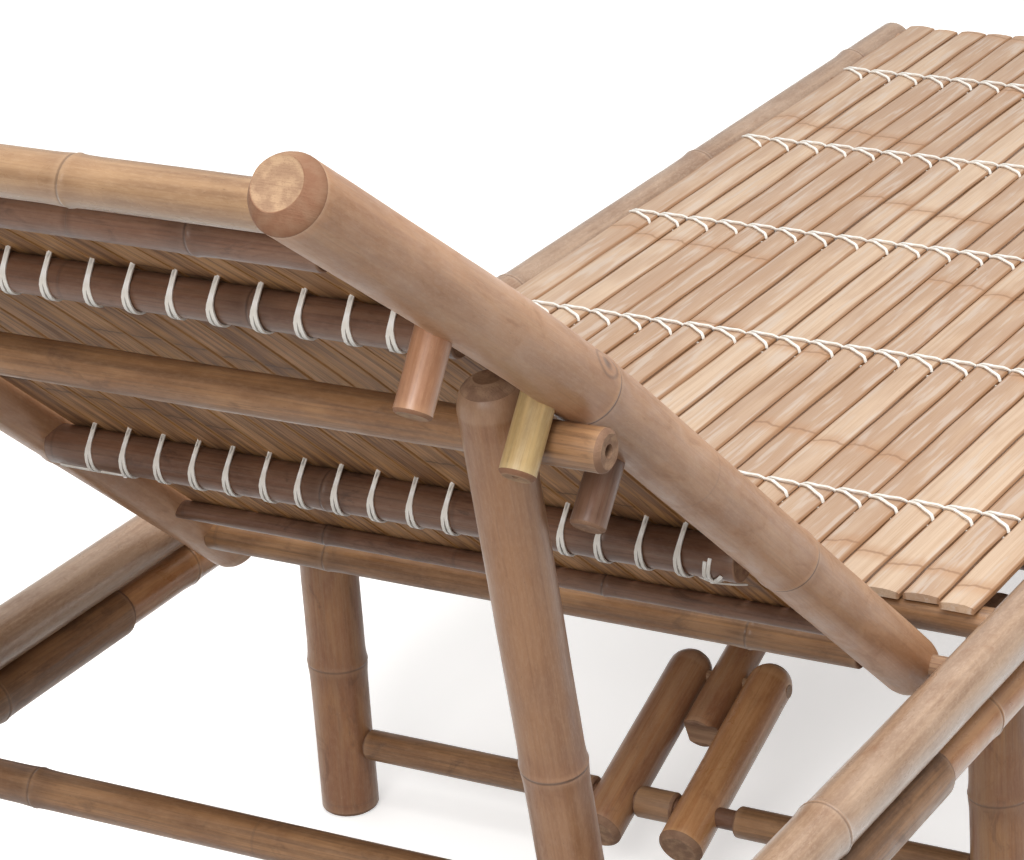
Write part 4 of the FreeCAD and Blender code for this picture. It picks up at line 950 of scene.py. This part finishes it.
backSlats = stripMesh("backSlats", splitSection(look["half"], look["thickness"], look["crown"]), backStrip, stations,
                      brownSlat, 0.012, 9)
layRow(backSlats, {"Count": look["count"], "Pitch": look["pitch"] * 0.001,
                   "First": (-look["pitch"] * 0.001 * (look["count"] - 1) / 2, 0.0, 0.0),
                   "Slide": (0.0004, 0.0, 0.0), "Turn": (0.0, 0.0, 0.0), "Wander": (0.003, 0.0006, 0.0006), "Seed": 9,
                   "Finish": brownSlat})
placed(backSlats, "backrest", "brown_bamboo", "back_slats")
print("slats laid")


def strand(route, wide, thick, flat, sides=4):
    # a flat thin cord through smoothed points, given and returned in mm round the unit's own origin
    smooth = []
    for index in range(len(route) - 1):
        before = route[max(index - 1, 0)]
        after = route[min(index + 2, len(route) - 1)]
        first, second = route[index], route[index + 1]
        for share in (0.0, 0.5):
            square, cube = share * share, share ** 3
            smooth.append(0.5 * (2 * first + (second - before) * share
                                 + (2 * before - 5 * first + 4 * second - after) * square
                                 + (3 * first - before - 3 * second + after) * cube))
    smooth.append(route[-1])
    points, grain, faces = [], [], []
    run = 0.0
    broad = flat
    for index, point in enumerate(smooth):
        way = (smooth[min(index + 1, len(smooth) - 1)] - smooth[max(index - 1, 0)]).normalized()
        run += (point - smooth[max(index - 1, 0)]).length
        broad = (broad - way * broad.dot(way)).normalized()
        other = way.cross(broad)
        for step in range(sides):
            turn = 2 * math.pi * (step + 0.5) / sides
            points.append(point + broad * math.cos(turn) * wide + other * math.sin(turn) * thick)
            grain.append((math.cos(turn) * wide, math.sin(turn) * thick, run))
    rings = len(smooth)
    for index in range(rings - 1):
        for step in range(sides):
            nextStep = (step + 1) % sides
            faces.append((index * sides + step, index * sides + nextStep, (index + 1) * sides + nextStep,
                          (index + 1) * sides + step))
    faces.append(tuple(reversed(range(sides))))
    faces.append(tuple(range((rings - 1) * sides, rings * sides)))
    return points, grain, faces


def strandsObject(name, strands, origin):
    points, grain, faces = [], [], []
    for morePoints, moreGrain, moreFaces in strands:
        base = len(points)
        points += [point + origin for point in morePoints]
        grain += moreGrain
        faces += [tuple(base + corner for corner in face) for face in moreFaces]
    return finishedObject(name, points, faces, [0] * len(faces), [lacingCord], grain,
                          [(farOff, farOff, farOff)] * len(points), 60.0)


def lashingUnit(name, look, pitch, way, up):
    # The cord on one slat: two strands over it and a doubled loop round the pole in the gap beside it.
    side = look["poleRadius"] + look["thick"] + 0.35
    top = look["cover"] + look["thick"] + 0.2
    half = pitch / 2

    def place(x, along, over):
        return Vector((x, 0, 0)) + way * along + up * over

    near = look["near"] * side
    strands = [
        strand([place(-half, side, top - 2.6), place(-half * 0.6, side * 0.9, top + 0.3),
                place(half * 0.1, side * 0.72, top + 0.9), place(half * 0.7, side * 0.8, top + 0.5),
                place(half, side, top - 2.6)],
               look["wide"], look["thick"], way),
        strand([place(-half, side * 0.95, top - 2.0), place(-half * 0.3, side * 0.5, top + 0.6),
                place(half * 0.42, near * 0.2, top + 0.7), place(half * 0.88, near * 0.8, top - 0.2),
                place(half, near, top - 4.0)],
               look["wide"], look["thick"], way),
    ]
    for lean in (-1, 1):
        loop = [place(half + 0.3 * lean, side, top - 3.0), place(half + 0.4 * lean, side, 0.0)]
        for angle in (35, 75, 110, 145):
            turn = math.radians(angle)
            loop.append(place(half + lean * (0.5 + look["spread"] * math.sin(turn)), side * math.cos(turn),
                              -side * math.sin(turn)))
        loop += [place(half + lean * 1.2, -side, 0.0), place(half + lean * 0.8, -side, top - 4.0)]
        strands.append(strand(loop, look["wide"], look["thick"], across))
    return strandsObject(name, strands, Vector((0, -frameSizes["rowShift"], 0)))


seatLashingLook = {"wide": 1.55, "thick": 0.8, "poleRadius": 12.0, "cover": 18.3, "near": -0.45, "spread": 1.2}
parts = []
for number, y in enumerate(seatRows):
    unit = lashingUnit("seatLashings", seatLashingLook, seatSlatLook["pitch"], Vector((0, 1, 0)), Vector((0, 0, 1)))
    first = toRow((-seatSlatLook["pitch"] * (seatSlatLook["count"] - 1) / 2, y, seatCross["z"]))
    layRow(unit, {"Count": seatSlatLook["count"] - 1, "Pitch": seatSlatLook["pitch"] * 0.001, "First": tuple(first),
                  "Slide": (0.0003, 0.0006, 0.0), "Turn": (0.0, 0.0, 0.05), "Wander": (0.0, 0.0, 0.0),
                  "Seed": 20 + number, "Finish": lacingCord})
    parts.append(unit)
placed(joined("seatLashings", parts), "seat_frame", "white_cord", "seat_lashings")

backLashingLook = {"wide": 1.6, "thick": 0.7, "near": -0.7, "spread": 1.35}
parts = []
for number, node in enumerate(("back_cross_pole_a", "back_cross_pole_b")):
    pole = backPoles[node]
    _, way, up = backFrame(pole["station"])
    cover = backSlatLook["level"] + backSlatLook["thickness"] - pole["level"]
    unit = lashingUnit("backLashings", {**backLashingLook, "poleRadius": pole["radius"], "cover": cover},
                       backSlatLook["pitch"], way, up)
    centre = backPoint(pole["station"], pole["level"])
    first = toRow((-backSlatLook["pitch"] * (backSlatLook["count"] - 1) / 2, centre.y, centre.z))
    layRow(unit, {"Count": backSlatLook["count"] - 1, "Pitch": backSlatLook["pitch"] * 0.001, "First": tuple(first),
                  "Slide": (0.0008, 0.0, 0.0), "Turn": (0.0, 0.0, 0.06), "Wander": (0.0, 0.0, 0.0),
                  "Seed": 40 + number, "Finish": lacingCord})
    parts.append(unit)
placed(joined("backLashings", parts), "backrest", "white_cord", "back_lashings")

# Loose ends of the cord: each is (x, turn round the pole in degrees from its head side, distance from its skin in mm)
cordEnds = {
    "back_cross_pole_b": (
        ((-238, 100, 0.6), (-214, 112, 0.9), (-191, 122, 1.2)),
        ((-190, 112, 1.6), (-193, 140, 1.8), (-198, 165, 5.0), (-203, 178, 13.0)),
        ((231, 20, 0.7), (229.5, 60, 0.9), (229, 98, 1.2), (232, 130, 1.0), (236, 165, 0.8)),
        ((237.5, 66, 0.8), (232, 90, 1.6), (226, 112, 1.6), (217, 128, 1.2)),
        ((228, 30, 0.8), (226.5, 70, 1.0), (227, 105, 1.2), (229, 140, 1.0)),
        ((227.5, 108, 2.2), (231, 134, 4.0), (235, 156, 10.0), (238, 168, 17.0)),
    ),
    "back_cross_pole_a": (
        ((204, 118, 0.8), (209, 140, 2.0), (214, 160, 6.0), (219, 172, 11.0)),
        ((236, 10, 0.7), (235, 60, 0.8), (236, 110, 0.8), (237.5, 150, 0.8)),
    ),
}
ends = []
for node, routes in cordEnds.items():
    pole = backPoles[node]
    _, way, up = backFrame(pole["station"])
    centre = backPoint(pole["station"], pole["level"])
    for route in routes:
        points = []
        for x, angle, away in route:
            turn = math.radians(angle)
            out = way * math.cos(turn) - up * math.sin(turn)
            points.append(centre + Vector((x, 0, 0)) + out * (pole["radius"] + away))
        ends.append(strand(points, 1.6, 0.7, way if abs(points[1].x - points[0].x) > 8 else across))
placed(strandsObject("cordEnds", ends, Vector((0, 0, 0))), "backrest", "white_cord")
print("lashings laid")

# The kept pins and dowels get their wood.

for node in ("hinge_pin_left", "hinge_pin_right", "rear_knee_pin", "foot_knee_pin"):
    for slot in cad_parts[node].material_slots:
        slot.material = hingeDowel
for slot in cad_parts["rail_dowels"].material_slots:
    slot.material = uprightDowel

# Studio: pale sweep, soft sky and two softboxes

studioLook = {"floor": "#e9e6e2", "floorGlow": 0.5, "skyTop": 0.95, "skySide": 0.42, "skyBelow": 0.14, "topPower": 54.0,
              "keyPower": 72.0}
floorMesh = bpy.data.meshes.new("studioFloor")
floorMesh.from_pydata([(-14, -14, 0), (14, -14, 0), (14, 14, 0), (-14, 14, 0)], [], [(0, 1, 2, 3)])
floor = bpy.data.objects.new("studioFloor", floorMesh)
bpy.context.scene.collection.objects.link(floor)
floor.visible_diffuse = False                             # the white sweep doesn't light the undersides
paper, tree, shader = startMaterial("lightTablePaper")    # matt backdrop paper on a lit table, faint unevenness
place = addNode(tree, "ShaderNodeTexCoord").outputs["Object"]
mottle = addNode(tree, "ShaderNodeTexNoise", inputs={"Vector": place, "Scale": 1.5, "Detail": 3.0}).outputs[0]
tint = addNode(tree, "ShaderNodeMix", {"data_type": "RGBA"}, {0: mottle, 6: linear("#efedeb"),
                                                              7: linear(studioLook["floor"])}).outputs[2]
tree.links.new(tint, shader.inputs["Base Color"])
shader.inputs["Roughness"].default_value = 0.9
shader.inputs["Emission Color"].default_value = (1.0, 1.0, 1.0, 1.0)
shader.inputs["Emission Strength"].default_value = studioLook["floorGlow"]
floorMesh.materials.append(paper)

world = bpy.data.worlds.new("studioWorld")
world.use_nodes = True
tree = world.node_tree
tree.nodes.clear()
height = addNode(tree, "ShaderNodeSeparateXYZ",
                 inputs={0: addNode(tree, "ShaderNodeTexCoord").outputs["Generated"]}).outputs[2]
upper = addNode(tree, "ShaderNodeMapRange", smoothly, {0: height, 1: 0.0, 2: 1.0, 3: studioLook["skySide"],
                                                       4: studioLook["skyTop"]}).outputs[0]
share = addNode(tree, "ShaderNodeMapRange", smoothly, {0: height, 1: -0.4, 2: 0.05,
                                                       3: studioLook["skyBelow"] / studioLook["skySide"],
                                                       4: 1.0}).outputs[0]
strength = addNode(tree, "ShaderNodeMath", {"operation": "MULTIPLY"}, {0: upper, 1: share}).outputs[0]
glow = addNode(tree, "ShaderNodeBackground", inputs={0: (1.0, 1.0, 1.0, 1.0), 1: strength})
addNode(tree, "ShaderNodeOutputWorld", inputs={0: glow.outputs[0]})
bpy.context.scene.world = world


def areaLight(name, place, target, size, power):
    light = bpy.data.lights.new(name, "AREA")
    light.size = size
    light.energy = power
    lamp = bpy.data.objects.new(name, light)
    lamp.location = place
    lamp.rotation_euler = (Vector(target) - Vector(place)).to_track_quat("-Z", "Y").to_euler()
    bpy.context.scene.collection.objects.link(lamp)


areaLight("topSoftbox", (0.8, -0.6, 3.0), (0, -0.2, 0.4), 1.8, studioLook["topPower"])
areaLight("keySoftbox", (0.6, -3.5, 2.1), (0, -0.4, 0.4), 1.5, studioLook["keyPower"])

cameraLook = {"place": (1.13487, -2.18010, 1.31320), "turn": (68.1134, 3.0163, 28.1410), "lens": 128.005,
              "shift": (-0.12088, -0.04922)}
lens = bpy.data.cameras.new("photoCamera")
lens.lens = cameraLook["lens"]
lens.sensor_width = 36.0
lens.shift_x, lens.shift_y = cameraLook["shift"]
lens.clip_end = 60.0
camera = bpy.data.objects.new("photoCamera", lens)
camera.location = cameraLook["place"]
camera.rotation_euler = Euler([math.radians(angle) for angle in cameraLook["turn"]], "XYZ")
bpy.context.scene.collection.objects.link(camera)
bpy.context.scene.camera = camera
bpy.context.scene.view_settings.view_transform = "Standard"

print("studio ready")
